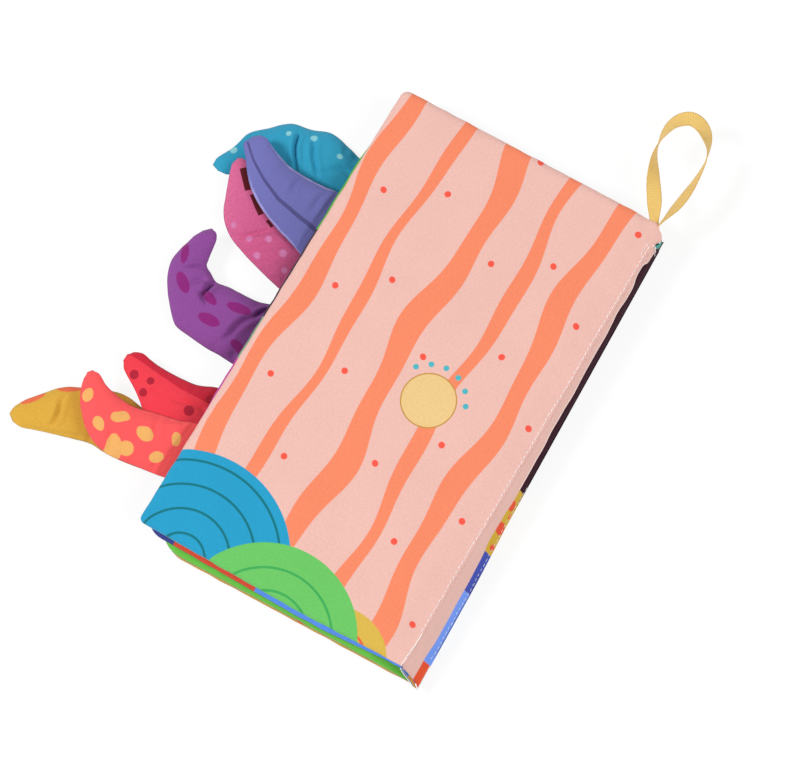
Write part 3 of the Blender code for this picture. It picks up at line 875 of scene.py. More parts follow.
def panel_grid(name, side, root):
    """Points and flat map of one cloth panel of a leaf, as grids from the fore edge to its root."""
    leaf = LEAVES[name]
    top_leaf = leaf["layer"] == TOP_LAYER
    fore, half = leaf["fore"], leaf["half"]
    x, y = np.meshgrid(graded(fore, root, soft_high=False), graded(-half, half), indexing="ij")
    flat = np.stack([x, y], axis=-1)
    from_seam = np.minimum(x - fore, half - np.abs(y))
    x, y = round_corners(leaf, x, y)
    from_fore = x - fore < half - np.abs(y)
    near = face_height(leaf, side, root - x)
    other = face_height(leaf, -side, root - x)
    y = round_root(leaf, let_down(name, x, y), hinge_of(leaf)[0] - x)
    if top_leaf and side < 0:
        y = y - 0.6 * smoothstep((y - 108) / 6) * smoothstep((x - 54) / 8)

    def waves(kind, seed):
        return kind[0] * ripple(along_edge, kind[1], 1.7 * leaf["layer"] + seed)

    along_edge = np.where(from_fore, y, x + 400 * np.sign(y))
    fade = np.exp(-from_seam / SEAM_FADE)
    pillow = crown(from_seam / EDGE_RUN)
    swell = SEAM_LIFT + (np.abs(near - other) / 2 - SEAM_LIFT) * pillow
    swell = swell * (1 + waves(SEAM_SWELL, 2) * bell((from_seam - 3) / 2.6))
    z = (near + other) / 2 + side * swell + waves(SEAM_PUCKER, 0) * fade
    out = waves(SEAM_SHIFT, 5) * fade
    if top_leaf and side < 0:
        out = out + lining_roll(x, y, from_fore) * np.sin(np.pi * np.clip(from_seam / 3.0, 0, 1))
    x, y = np.where(from_fore, x - out, x), np.where(from_fore, y, y + np.sign(y) * out)
    if top_leaf and side > 0:
        z = z + stitch_relief(x, y)
        gentle = sum(
            tall * np.sin(rate_x * x + rate_y * y + phase)
            for tall, rate_x, rate_y, phase in TOP_WAVES
        )
        z = z + (0.16 + 0.5 * gentle) * pillow * smoothstep((STITCH_X - x) / 20)
    return np.stack([x, y, z], axis=-1), flat


def lip_grid(leaf, end_y):
    """Rows of a cover's outer cloth that turn round its hinge, and their flat map."""
    hinge_x, hinge_z = hinge_of(leaf)
    angles = np.radians(np.linspace(90, 0, 10))[1:, None]
    top_leaf = leaf["layer"] == TOP_LAYER
    reach = (TOP_LIP_RADIUS if top_leaf else LIP_RADIUS) + 0.07 * (1 - np.sin(angles))
    bulge = top_leaf * smoothstep((end_y - LIP_FROM) / 8.4)
    out = np.cos(angles)
    x = hinge_x + reach * out + LIP_BULGE * bulge * out
    y = end_y - 3.0 * bulge * smoothstep((end_y - LIP_FROM - 1) / 7) * out**2
    z = hinge_z - near_side(leaf) * reach * np.sin(angles) + 0 * x
    run = hinge_x + LIP_RADIUS * (np.pi / 2 - angles) + 0 * x
    return np.stack([x, y, z], axis=-1), np.stack([run, y], axis=-1)


def make_leaf(name):
    leaf = LEAVES[name]
    for side in (1, -1):
        kind = "outer_panel" if (side > 0) == (leaf["layer"] >= 2) else "inner_panel"
        has_lip = is_cover(leaf) and side != near_side(leaf)
        points, flat = panel_grid(name, side, hinge_of(leaf)[0] - (0 if has_lip else ROOT_SETBACK))
        if has_lip:
            lip, lip_flat = lip_grid(leaf, points[-1, :, 1])
            points, flat = np.concatenate([points, lip]), np.concatenate([flat, lip_flat])
        if leaf["layer"] < 2:
            points = turn_low(points)
        points[..., 2] = np.maximum(points[..., 2], 0.05)
        make_print, slot = PANEL_PRINTS[f"{name}_{kind}"]
        obj = new_sheet(f"{name}_{kind}_cloth", points, flat, make_print(), CLOTH, offset=-1, flip=side < 0)
        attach(obj, name)
        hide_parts(f"{name}_{kind}")


# Spine. outward: how far outside the stitch lines a strip runs, bow: how far it bows out between them, wrap:
# degrees that it goes on round the upper and the lower hinge, past: how much longer than the cover it is at
# each end, cut: how far its high end is drawn in at the bottom and how much more at the top, flare: how far
# that end bends out, and where this starts and the run it takes, along the book and then above the floor.
STRIPS = {
    "spine_cover_strip": {
        "outward": 0.72, "bow": 0.85, "wrap": (60, 80), "past": 0.35, "seed": 2.0,
        "cut": (2.9, 5.7), "flare": (0.3, 99.0, 8.0, 2.5, 2.0),
        "prints": (spine_print, cover_edge_print), "slot": "spine_print",
    },
    "spine_page_strip": {
        "outward": 0.20, "bow": -0.5, "wrap": None, "past": 0.75, "seed": 5.0,
        "cut": (6.3, 0.0), "flare": (2.7, 103.5, 4.0, 7.5, 3.5),
        "prints": (spine_page_print, page_edge_print), "slot": "green_page_print",
    },
    "spine_lining_strip": {
        "outward": -0.55, "bow": -1.6, "wrap": None, "past": 0.55, "seed": 8.0,
        "cut": (6.0, 0.0), "flare": (0.0, 0.0, 1.0, 0.0, 1.0),
        "prints": (spine_lining_print, lining_edge_print), "slot": "blue_page_print",
    },
}
LOW_BULGE = 1.3
CUT_RUN = 24.0


def low_line_x(y):
    """The lower stitch line's place across the book."""
    return LOW_HINGE[0] - y * math.tan(SKEW)


def hinge_wrap(x, height, radius, degrees):
    """Rows of a strip round a hinge: where they are across the book, and their heights."""
    angles = np.radians(degrees)[:, None]
    return x + radius * np.cos(angles), height + radius * np.sin(angles) + 0 * x


def spine_points(strip, ys):
    """Rows down a strip of the spine: round the upper hinge, down in an S, and round the lower hinge."""
    radius, seed = strip["outward"], strip["seed"]
    wrap = strip["wrap"]
    share = (np.linspace(0, 1, 15) if wrap else np.linspace(0.05, 0.95, 14))[:, None]
    arch = np.sin(np.pi * share)
    low_x = low_line_x(ys)
    bulge = LOW_BULGE * smoothstep((-ys - 10) / 60)
    lean = 0.25 * smoothstep(share) + 0.75 * share
    slack = strip["bow"] * (1 + 0.35 * ripple(ys, 31.0, seed)) * np.maximum(arch, 0) ** 0.8
    slack = slack + 0.22 * ripple(ys + 9 * share, 14.0, seed + 3) * arch + bulge * share
    x = UP_HINGE[0] + radius + (low_x - UP_HINGE[0]) * lean + slack
    z = UP_HINGE[1] + (LOW_HINGE[1] - UP_HINGE[1]) * share + 0 * ys
    start = 0.0
    if wrap:
        top_x, top_z = hinge_wrap(UP_HINGE[0] + 0 * ys, UP_HINGE[1], radius, np.linspace(wrap[0], 0, 6)[:-1])
        end_x, end_z = hinge_wrap(low_x + bulge, LOW_HINGE[1], radius, np.linspace(0, -wrap[1], 6)[1:])
        x, z = np.concatenate([top_x, x, end_x]), np.concatenate([top_z, z, end_z])
        start = radius * math.radians(wrap[0])
    run = np.concatenate([[0 * ys], np.cumsum(np.hypot(np.diff(x, axis=0), np.diff(z, axis=0)), axis=0)])
    return x, np.repeat(ys[None, :], len(x), axis=0), z, run - start


def end_shift(y, z):
    """How the strips' low ends lean: in at the top, out at the bottom."""
    return (1.5 * smoothstep((z - 7) / 9) - 1.7 * smoothstep((9 - z) / 6)) * smoothstep((-90 - y) / 24)


def make_strip(name):
    strip = STRIPS[name]
    half = HALF_PAGE + strip["past"]
    x, y, z, run = spine_points(strip, np.linspace(-half, half, 150))
    cut = strip["cut"][0] + strip["cut"][1] * smoothstep((z - 5) / 6)
    from_cut = y - half + CUT_RUN
    y = np.where(from_cut > 0, half - CUT_RUN + from_cut * (CUT_RUN - cut) / CUT_RUN, y)
    flare, from_y, run_y, from_z, run_z = strip["flare"]
    x = x + flare * smoothstep((y - from_y) / run_y) * smoothstep((z - from_z) / run_z)
    y = y + end_shift(y, z)
    points, flat = np.stack([x, y, z], axis=-1), np.stack([run, y], axis=-1)
    cloth_print, rim_print = strip["prints"]
    obj = new_sheet(f"{name}_cloth", points, flat, cloth_print(), CLOTH)
    obj.data.materials.append(rim_print())
    obj.modifiers["cloth_thickness"].material_offset_rim = 1
    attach(obj, "spine")
    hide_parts(name)
    width = float(run[-1].mean() - run[0].mean())
    2 * half / 1000


# Stitches: separate dashes of thread, and threads along a seam
SIDES = 8
STITCH_PITCH = 2.45
STITCH_LENGTH = 1.7
STITCH_STATIONS = ((0.0, 0.35), (0.10, 0.8), (0.3, 1.0), (0.7, 1.0), (0.9, 0.8), (1.0, 0.35))


def ring(middle, side, up, radius):
    turns = (2 * math.pi * k / SIDES for k in range(SIDES))
    return [middle + (side * math.cos(turn) + up * math.sin(turn)) * radius for turn in turns]


def dash(start, end, radius):
    """Rings round a short rounded thread, which arches up between its ends."""
    axis = (end - start) / np.linalg.norm(end - start)
    side = np.cross(axis, (0, 0, 1))
    side = side / np.linalg.norm(side)
    down = np.cross(axis, side)
    rings = []
    for share, wide in STITCH_STATIONS:
        middle = start + (end - start) * share - down * radius * 0.7 * math.sin(math.pi * share)
        rings.append(ring(middle, side, down, radius * wide))
    return rings


def thread(path, radius):
    """Rings round a thin thread along a path."""
    path = np.asarray(path, float)
    ahead = np.gradient(path, axis=0)
    ahead /= np.linalg.norm(ahead, axis=1)[:, None]
    side = np.cross(ahead[0], (0.3, 0.2, 1.0))
    rings = []
    for middle, axis in zip(path, ahead):
        side = side - axis * np.dot(side, axis)
        side /= np.linalg.norm(side)
        rings.append(ring(middle, side, np.cross(axis, side), radius))
    return rings


def thread_faces(count, start):
    """Faces round that many rings and over both ends, for rings that start at a point's index."""
    faces = []
    for i in range(count - 1):
        for k in range(SIDES):
            a, b = start + i * SIDES + k, start + i * SIDES + (k + 1) % SIDES
            faces.append((a, b, b + SIDES, a + SIDES))
    last = start + (count - 1) * SIDES
    return [*faces, tuple(reversed(range(start, start + SIDES))), tuple(range(last, last + SIDES))]


def dashes(rows, radius):
    """Threads of rows of stitches, each row (line(y), lowest y, highest y)."""
    places = [
        (line, low + index * STITCH_PITCH)
        for line, low, high in rows
        for index in range(int((high - low) / STITCH_PITCH))
    ]
    found = []
    for index, (line, y) in enumerate(places):
        wander = (hashed(index, 1.0) - 0.5) * 0.25
        slant = (hashed(index, 2.0) - 0.5) * 0.22
        start = line(y) + (wander - slant, 0, 0)
        end = line(y + STITCH_LENGTH * (0.92 + 0.16 * hashed(index, 3.0))) + (wander + slant, 0, 0)
        found.append(dash(start, end, radius))
    return found


def make_stitches(name, node, body, threads, material):
    points, faces = [], []
    for rings in threads:
        faces += thread_faces(len(rings), len(points))
        points += [point for points_round in rings for point in points_round]
    points = np.array(points)
    obj = new_mesh(name, points, faces, points[:, :2], material)
    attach(obj, body)
    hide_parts(node)


def on_cover(x, y, above):
    """A point over the top cloth near the upper stitch line."""
    top = face_height(LEAVES["back_cover"], 1, UP_HINGE[0] - x)
    return np.array([x, y, float(top + stitch_relief(x, y)) + above])


def upper_stitch(y):
    return on_cover(STITCH_X + 0.3 * ripple(y, 37.0, 2.0), y, 0.12)


def back_stitch(y):
    return on_cover(STITCH_X - 1.2 + 0.03 * (y - 100), y, 0.12)


def on_strip(y, height, above):
    """A point over the outer strip of the spine, at a height over the floor."""
    x, _, z, _ = spine_points(STRIPS["spine_cover_strip"], np.array([y]))
    order = np.argsort(z[:, 0])
    return np.array([np.interp(height, z[order, 0], x[order, 0]) + above, y, height])


def lower_stitch(y):
    return on_strip(y, 6.6 - 3.3 * float(smoothstep((y + 34) / 26)), 0.19)


# The loose end of thread at the high end, and where the welt at the low end starts and ends
LOOSE_THREAD = (
    *((67.0, 105.0, 17.1), (67.9, 105.3, 16.6), (68.6, 105.2, 15.4), (68.5, 104.2, 14.2)),
    *((69.1, 104.6, 12.6), (69.0, 103.6, 11.4), (69.5, 103.2, 10.2)),
)
WELT_FROM = -103.0
END_Y = -HALF_PAGE - 0.45


def crest(y):
    """A point of the thread along the cover's edge at the low end."""
    x = 66.55 - 0.75 * float(smoothstep((-y - 100) / 14)) + 0.08 * math.sin(y * 1.7)
    return on_cover(x, y, 0.10)


def welt(y):
    x, _, z = on_strip(y, 4.5, -0.35 + 0.5 * float(smoothstep((WELT_FROM - y) / 4)))
    return x, y + float(end_shift(y, z)), z


def strip_end(name, past, highest):
    """The line of a strip's low end, up to a height over the floor."""
    x, _, z, _ = spine_points(STRIPS[name], np.array([END_Y]))
    y = END_Y - past + end_shift(END_Y, z)
    return np.stack([x, y, z], axis=-1)[z < highest]


def make_upper_stitches(material):
    threads = dashes(((upper_stitch, -96.0, 106.0), (back_stitch, 98.5, 106.0)), 0.19)
    threads.append(thread(LOOSE_THREAD, 0.17))
    threads.append(thread([crest(y) for y in np.linspace(-96.6, -113.4, 30)], 0.2))
    make_stitches("upper_stitch_row", "upper_stitching", "back_cover", threads, material)


def make_lower_stitches(material):
    threads = dashes(((lower_stitch, -103.0, 103.0),), 0.14)
    threads.append(thread(strip_end("spine_lining_strip", 0.2, UP_HINGE[1]), 0.24))
    threads.append(thread(strip_end("spine_cover_strip", 0.0, 7.5), 0.3))
    threads.append(thread([welt(y) for y in np.linspace(WELT_FROM, END_Y, 30)], 0.38))
    make_stitches("lower_stitch_row", "lower_stitching", "spine", threads, material)


# Tails. high_side and low_side: the sewn side curves from root to tip, up and down: how far the pad stands
# over and under its seam, creases: start, end, depth and half width of each valley across it.
TAILS = {
    "teal_tail": {
        "leaf": "front_cover",
        "print": teal_tail_print,
        "high_side": [
            (-60.5, 79.0), (-70.0, 80.6), (-77.3, 82.8), (-88.2, 84.8), (-97.1, 81.9), (-104.8, 80.5),
            (-109.1, 78.5), (-114.8, 72.9), (-121.5, 66.4), (-124.0, 57.9), (-127.0, 51.4), (-129.2, 46.6),
        ],
        "low_side": [
            (-60.5, 58.5), (-71.3, 58.0), (-85.3, 57.0), (-98.8, 54.5), (-107.5, 51.2), (-115.0, 46.8),
            (-122.3, 43.6),
        ],
        "up": 3.6, "down": 2.1,
        "creases": [
            ((-101.5, 76.5), (-94.0, 60.0), 2.38, 0.79), ((-93.5, 77.0), (-83.0, 61.0), 1.5, 0.86),
            ((-112.0, 68.0), (-110.5, 55.0), 0.88, 1.08), ((-72.0, 72.0), (-82.0, 68.0), 0.88, 1.3),
        ],
    },
    "yellow_tail": {
        "leaf": "front_cover",
        "print": yellow_tail_print,
        "high_side": [
            (-60.0, -70.0), (-73.0, -69.5), (-85.3, -69.0), (-95.3, -68.3), (-106.1, -67.2),
            (-117.0, -70.1), (-125.2, -74.0), (-130.0, -76.3), (-134.0, -79.4), (-138.4, -84.5),
            (-142.8, -89.7), (-145.1, -93.3), (-147.5, -98.2),
        ],
        "low_side": [
            (-60.0, -89.5), (-71.7, -90.9), (-80.5, -92.5), (-90.8, -94.1), (-100.0, -94.6),
            (-105.6, -94.2), (-109.7, -94.6), (-119.1, -97.1), (-128.9, -99.8), (-138.0, -102.6),
            (-141.5, -103.2),
        ],
        "up": 4.2, "down": 2.1,
        "creases": [
            ((-127.6, -95.5), (-128.6, -82.5), 1.5, 0.95),
            ((-137.0, -101.2), (-106.0, -92.0), 0.88, 0.65),
            ((-112.0, -72.0), (-114.0, -84.0), 0.75, 1.08),
        ],
    },
    "pink_tail": {
        "leaf": "front_page",
        "print": pink_tail_print,
        "high_side": [
            (-60.5, 30.5), (-69.0, 31.0), (-78.0, 33.0), (-88.0, 37.0), (-97.0, 42.0), (-105.8, 48.5),
            (-111.1, 51.8), (-114.7, 53.6),
        ],
        "low_side": [
            (-60.5, 7.2), (-69.1, 8.1), (-76.0, 9.6), (-86.9, 12.7), (-94.6, 15.3), (-101.7, 18.3),
            (-107.5, 22.8), (-111.2, 27.8), (-113.9, 34.1), (-117.0, 41.7), (-119.1, 48.0), (-119.3, 51.0),
        ],
        "up": 3.0, "down": 2.1,
        "creases": [
            ((-101.5, 18.6), (-86.0, 30.0), 1.5, 1.01), ((-92.0, 15.5), (-82.0, 26.0), 0.62, 1.01),
        ],
    },
    "purple_tail": {
        "leaf": "front_page",
        "print": purple_tail_print,
        "high_side": [
            (-60.5, 2.4), (-69.5, 0.4), (-75.7, -1.3), (-84.9, -1.7), (-90.6, -1.9), (-96.0, -2.6),
            (-100.4, -0.3), (-104.0, 1.9), (-105.4, 6.0), (-106.2, 10.3), (-107.3, 15.2), (-109.6, 18.3),
        ],
        "low_side": [
            (-60.5, -31.4), (-70.0, -32.0), (-77.1, -31.8), (-84.2, -31.7), (-94.8, -30.6),
            (-100.6, -29.7), (-103.9, -27.8), (-109.4, -22.1), (-114.3, -15.9), (-117.7, -10.0),
            (-119.4, -3.8), (-118.8, 2.0), (-117.2, 8.0), (-115.8, 13.2),
        ],
        "up": 4.8, "down": 2.6,
        "creases": [
            ((-102.8, 1.0), (-112.5, -3.0), 1.88, 0.65), ((-96.0, -2.4), (-98.8, -9.7), 3.75, 1.08),
            ((-98.8, -9.7), (-94.9, -14.5), 2.0, 1.01), ((-67.0, -0.5), (-74.5, -10.0), 2.75, 1.01),
            ((-74.5, -10.0), (-80.0, -25.0), 2.0, 1.15), ((-99.0, -4.0), (-107.0, -9.0), 1.12, 1.01),
        ],
    },
    "red_tail": {
        "leaf": "front_page",
        "print": red_tail_print,
        "high_side": [
            (-60.5, -43.0), (-70.6, -44.6), (-78.8, -47.8), (-87.9, -48.8), (-96.9, -48.9),
            (-103.1, -48.3), (-108.0, -47.6), (-112.8, -49.6),
        ],
        "low_side": [
            (-60.5, -66.0), (-70.5, -71.0), (-78.1, -72.8), (-85.7, -73.0), (-92.5, -71.0),
            (-97.8, -66.9), (-103.2, -63.1), (-109.1, -59.6), (-113.0, -56.8),
        ],
        "up": 3.6, "down": 2.1,
        "creases": [
            ((-70.0, -56.5), (-84.0, -58.5), 1.0, 1.01), ((-92.0, -59.0), (-98.0, -66.0), 0.62, 1.08),
        ],
    },
    "violet_tail": {
        "leaf": "back_page",
        "print": violet_tail_print,
        "high_side": [
            (-64.9, 59.6), (-68.2, 59.3), (-75.8, 58.9), (-83.2, 58.7), (-93.3, 59.3), (-101.6, 61.7),
            (-107.8, 64.3), (-111.6, 66.4),
        ],
        "low_side": [
            (-64.9, 24.6), (-67.6, 25.6), (-74.5, 27.9), (-82.7, 30.3), (-91.6, 33.8), (-98.1, 37.1),
            (-104.8, 41.9), (-110.1, 47.5), (-114.2, 53.1), (-118.4, 58.1), (-118.0, 61.0),
        ],
        "up": 3.8, "down": 2.0,
        "creases": [
            ((-86.0, 58.0), (-88.5, 48.0), 1.0, 1.01), ((-73.0, 57.0), (-76.0, 45.0), 0.88, 1.3),
        ],
    },
    "coral_tail": {
        "leaf": "back_page",
        "print": coral_tail_print,
        "high_side": [
            (-64.9, -63.2), (-69.4, -64.4), (-76.9, -66.7), (-86.2, -68.6), (-95.3, -70.8),
            (-101.2, -71.1), (-107.7, -70.2), (-113.1, -68.8), (-117.4, -66.7), (-120.6, -65.6),
        ],
        "low_side": [
            (-64.9, -91.4), (-69.4, -92.4), (-78.1, -94.0), (-88.4, -95.3), (-97.1, -95.8),
            (-105.1, -93.6), (-111.4, -89.7), (-115.3, -85.8), (-119.2, -81.3), (-122.2, -75.4),
            (-123.9, -69.8),
        ],
        "up": 3.8, "down": 1.9,
        "creases": [
            ((-84.0, -69.5), (-82.0, -80.0), 0.75, 1.15), ((-97.0, -95.0), (-99.0, -85.0), 0.75, 1.15),
        ],
    },
}
TAIL_ROWS = 56
TAIL_COLUMNS = 24
TIP_RUN = 6.0
TIP_OVER = 0.9
TIP_NARROW = (0.22, 2.5)
ROOT_RUN = 9.0
ROOT_HEIGHT = 1.9
PINNED_RUN = 6.0
PUCKER_HEIGHT = 0.26

# The cloth solver works on a larger copy, and PUFF_CAP is the farthest that it may move a point
PUFF_SCALE = 20
PUFF_FRAMES = 20
PUFF_CAP = 3.0


def crease_depth(x, y, creases):
    """Valleys with low shoulders along short lines across a tail."""
    total = np.zeros_like(x)
    for (x0, y0), (x1, y1), depth, wide in creases:
        length = math.hypot(x1 - x0, y1 - y0)
        ux, uy = (x1 - x0) / length, (y1 - y0) / length
        along = ((x - x0) * ux + (y - y0) * uy) / length
        across = (y - y0) * ux - (x - x0) * uy + 0.6 * np.sin(along * 5.0)
        fade = smoothstep((along + 0.15) / 0.3) * smoothstep((1.3 - along) / 0.7)
        valley = -np.exp(-((across / wide) ** 2))
        shoulder = 0.4 * np.exp(-(((np.abs(across) - 2.4 * wide) / (1.4 * wide)) ** 2))
        total += depth * fade * (valley + shoulder)
    return total


def puff(points, faces, pinned):
    """Blow the closed cloth up with Blender's cloth solver, and return where its points go."""
    mesh = bpy.data.meshes.new("puff")
    mesh.from_pydata((points * PUFF_SCALE / 1000).tolist(), [], faces)
    obj = link(bpy.data.objects.new("puff", mesh))
    group = obj.vertex_groups.new(name="pinned")
    group.add([int(k) for k in np.flatnonzero(pinned)], 1.0, "REPLACE")
    modifier = obj.modifiers.new("cloth", "CLOTH")
    cloth = modifier.settings
    cloth.quality = 6
    cloth.mass = 0.3
    cloth.tension_stiffness = 12
    cloth.compression_stiffness = 6
    cloth.shear_stiffness = 4
    cloth.bending_stiffness = 0.15
    cloth.use_pressure = True
    cloth.uniform_pressure_force = 4.0
    cloth.effector_weights.gravity = 0
    cloth.vertex_group_mass = "pinned"
    modifier.collision_settings.use_collision = False
    modifier.collision_settings.use_self_collision = False
    modifier.point_cache.frame_start = 1
    modifier.point_cache.frame_end = PUFF_FRAMES
    scene = bpy.context.scene
    for step in range(1, PUFF_FRAMES + 1):
        scene.frame_set(step)
    settled = obj.evaluated_get(bpy.context.evaluated_depsgraph_get()).to_mesh()
    found = np.empty(len(points) * 3)
    settled.vertices.foreach_get("co", found)
    bpy.data.objects.remove(obj)
    bpy.data.meshes.remove(mesh)
    scene.frame_set(1)
    return found.reshape(-1, 3) * 1000 / PUFF_SCALE


def longer(curve):
    """A curve with a point a little past its end, because subdivision draws the tip in."""
    last, before = np.array(curve[-1]), np.array(curve[-2])
    return [*curve, last + (last - before) / np.linalg.norm(last - before) * TIP_OVER]


def border(rows, columns):
    """True round the edge of a grid."""
    edge = np.ones((rows, columns), bool)
    edge[1:-1, 1:-1] = False
    return edge


def joined(top, low):
    """Values of a top grid and then of a low grid, which share their border, one row for each point."""
    inner = ~border(*top.shape[:2]).reshape(-1)
    return np.concatenate([top.reshape(len(inner), -1), low.reshape(len(inner), -1)[inner]])


def cushion_faces(rows, columns):
    """Faces of a top and a low grid that share their border."""
    inner = ~border(rows, columns).reshape(-1)
    low_index = np.arange(rows * columns)
    low_index[inner] = rows * columns + np.arange(inner.sum())
    low = [tuple(int(low_index[k]) for k in quad) for quad in grid_faces(rows, columns, flip=True)]
    return grid_faces(rows, columns) + low


def blown(points, faces, tail, from_root, tallest):
    """The cushion blown up by the cloth solver, and brought back to the tail's own heights."""
    start = points * (1, 1, 0.6)
    root_run = joined(from_root, from_root)[:, 0]
    edge = border(*from_root.shape)
    sewn = joined(edge, edge)
    moved = puff(start, faces, root_run < PINNED_RUN) - start
    amount = np.linalg.norm(moved, axis=1)
    moved *= np.minimum(1, PUFF_CAP / np.maximum(amount, 1e-6))[:, None]
    moved *= (0.35 + 0.65 * smoothstep((root_run - 4) / 9))[:, None]
    points = start + moved * np.where(sewn, (0.1, 0.1, 1.0), (0.35, 0.35, 1.0))
    top = points[:, 2] > 0
    for side, full in ((top, tail["up"]), (~top, tail["down"])):
        points[side, 2] *= full / np.percentile(np.abs(points[side, 2]), 97)
    limit = joined(np.where(edge, 0.0, tallest), tail["down"] + 0 * tallest)[:, 0]
    limit = np.where(top, np.maximum(limit, 1.0), tail["down"])
    points[:, 2] = limit * np.tanh(points[:, 2] / limit * 1.1)
    return points


def tail_mesh(name, tail):
    """Closed cushion between two sewn side curves: points, faces and flat map."""
    u = np.linspace(0, 1, TAIL_ROWS)
    even = np.linspace(0, 1, TAIL_COLUMNS)
    t = 0.6 * (1 - np.cos(np.pi * even)) / 2 + 0.4 * even
    side_a, side_b = (catmull(longer(tail[key]), u) for key in ("high_side", "low_side"))
    length = run_along((side_a + side_b) / 2)[-1]
    narrow = TIP_NARROW[0] * smoothstep(1 - (1 - u) * length / TIP_NARROW[1])[:, None]
    side_a, side_b = side_a + (side_b - side_a) * narrow, side_b + (side_a - side_b) * narrow
    plan = side_a[:, None, :] * (1 - t[None, :, None]) + side_b[:, None, :] * t[None, :, None]
    width = np.linalg.norm(side_a - side_b, axis=1)[:, None]
    from_side = np.minimum(t, 1 - t)[None, :] * width
    from_tip = (1 - u)[:, None] * length + 0 * from_side
    from_root = u[:, None] * length + 0 * from_side
    leaf = LEAVES[tail["leaf"]]
    middle = HALF_LEAF + leaf["layer"] * LEAF_PITCH
    seed = float(sum(ord(letter) for letter in name) % 17)
    free = smoothstep((leaf["fore"] - 6.0 - plan[..., 0]) / 14)
    stout = np.clip(width / (0.8 * width.max()), 0.5, 1.0) ** 0.6
    along_side = from_root + 40 * (t[None, :] > 0.5)
    pucker = ripple(along_side, 6.5, seed) * np.exp(-from_side / 2.4) * smoothstep(from_root / 6)
    body = crown(from_side / (width * 0.5)) ** 0.9 * crown(from_tip / TIP_RUN) ** 0.8
    body = body * (0.30 + 0.70 * smoothstep(from_root / ROOT_RUN))
    heights = []
    for side, full in ((1, tail["up"]), (-1, tail["down"])):
        tall = ROOT_HEIGHT + (full - ROOT_HEIGHT) * free * stout
        wrinkle = 0.10 * ripple(from_root + 0.5 * t[None, :] * width, 9.0, seed + side)
        wrinkle = wrinkle + 0.13 * ripple(along_side, 5.2, seed + 3) * bell((from_side - 3.2) / 2.2)
        heights.append(np.maximum(tall * body * (1 + wrinkle), 0.1))
    edge = border(TAIL_ROWS, TAIL_COLUMNS)
    height = joined(np.where(edge, 0.0, heights[0]), -heights[1])
    points = np.concatenate([joined(plan, plan), height], axis=1)
    faces = cushion_faces(TAIL_ROWS, TAIL_COLUMNS)
    tallest = 1.95 + (tail["up"] - 1.95) * free * stout
    points = blown(points, faces, tail, from_root, tallest)
    top = points[: edge.size].reshape(*edge.shape, 3)
    low = top.copy()
    low[~edge] = points[edge.size :]
    top, low, flat, body, pucker = (finer(grid) for grid in (top, low, plan, body, pucker))
    dent = crease_depth(flat[..., 0], flat[..., 1], tail["creases"]) * body
    top[..., 2] += dent + PUCKER_HEIGHT * pucker + middle
    low[..., 2] += -0.3 * dent + PUCKER_HEIGHT * pucker + middle
    points = joined(top, low)
    points[:, 2] = np.maximum(points[:, 2], 0.15)
    return points, cushion_faces(*top.shape[:2]), joined(flat, flat)


def finer(grid):
    """Twice as many steps each way along a smooth grid."""
    for axis in (0, 1):
        grid = np.moveaxis(grid, axis, 0)
        ends = np.concatenate([2 * grid[:1] - grid[1:2], grid, 2 * grid[-1:] - grid[-2:-1]])
        half = (9 * (ends[1:-2] + ends[2:-1]) - ends[:-3] - ends[3:]) / 16
        out = np.empty((2 * len(grid) - 1, *grid.shape[1:]))
        out[0::2] = grid
        out[1::2] = half
        grid = np.moveaxis(out, 0, axis)
    return grid


def bend(obj):
    """Move a piece's transform into its mesh, so that it stands in place with no transform of its own."""
    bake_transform(obj)


def make_tail(name):
    tail = TAILS[name]
    points, faces, flat = tail_mesh(name, tail)
    obj = new_mesh(f"{name}_pad", points, faces, flat, tail["print"]())
    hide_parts(f"{name}_top_panel", f"{name}_under_panel", f"{name}_filling")
    bend(obj)


# Ribbon loop. The line is in shares of its width to the left and of its length up, and the twist at each of
# its points is in quarter turns.
LOOP_ROOT = (62.7, 115.9, 16.9)
LOOP_LENGTH = 49.5
LOOP_WIDTH = 21.5
LOOP_LINE = (
    *((0.0, -0.03), (0.24, 0.16), (0.52, 0.36), (0.75, 0.60), (0.74, 0.86), (0.46, 1.0), (0.08, 0.96)),
    *((-0.22, 0.78), (-0.29, 0.56), (-0.25, 0.26), (-0.10, -0.04)),
)
LOOP_TWIST = (0.8, 1.0, 0.62, 0.04, -0.6, -1.0, -0.75, -0.05, 0.25, 0.5, 0.2)
LOOP_LIFT = 0.3
LOOP_PINCH = (0.62, 0.45)
PINCH_LENGTH = 11.0
RIBBON_WIDTH = 6.6
RIBBON_THICKNESS = 0.35
RIBBON_COLUMNS = (-1.0, -0.86, -0.4, 0.0, 0.4, 0.86, 1.0)
RIB_HEIGHT = 0.06


def loop_angles(line, stations):
    """How far the ribbon's width leans from upright at each station."""
    knots = np.linspace(0, 1, len(line))
    twist = catmull(np.stack([knots, np.array(LOOP_TWIST)], axis=1), np.linspace(0, 1, 200))
    run = run_along(line)
    return np.interp(np.interp(stations, run / run[-1], knots), twist[:, 0], twist[:, 1]) * math.pi / 2


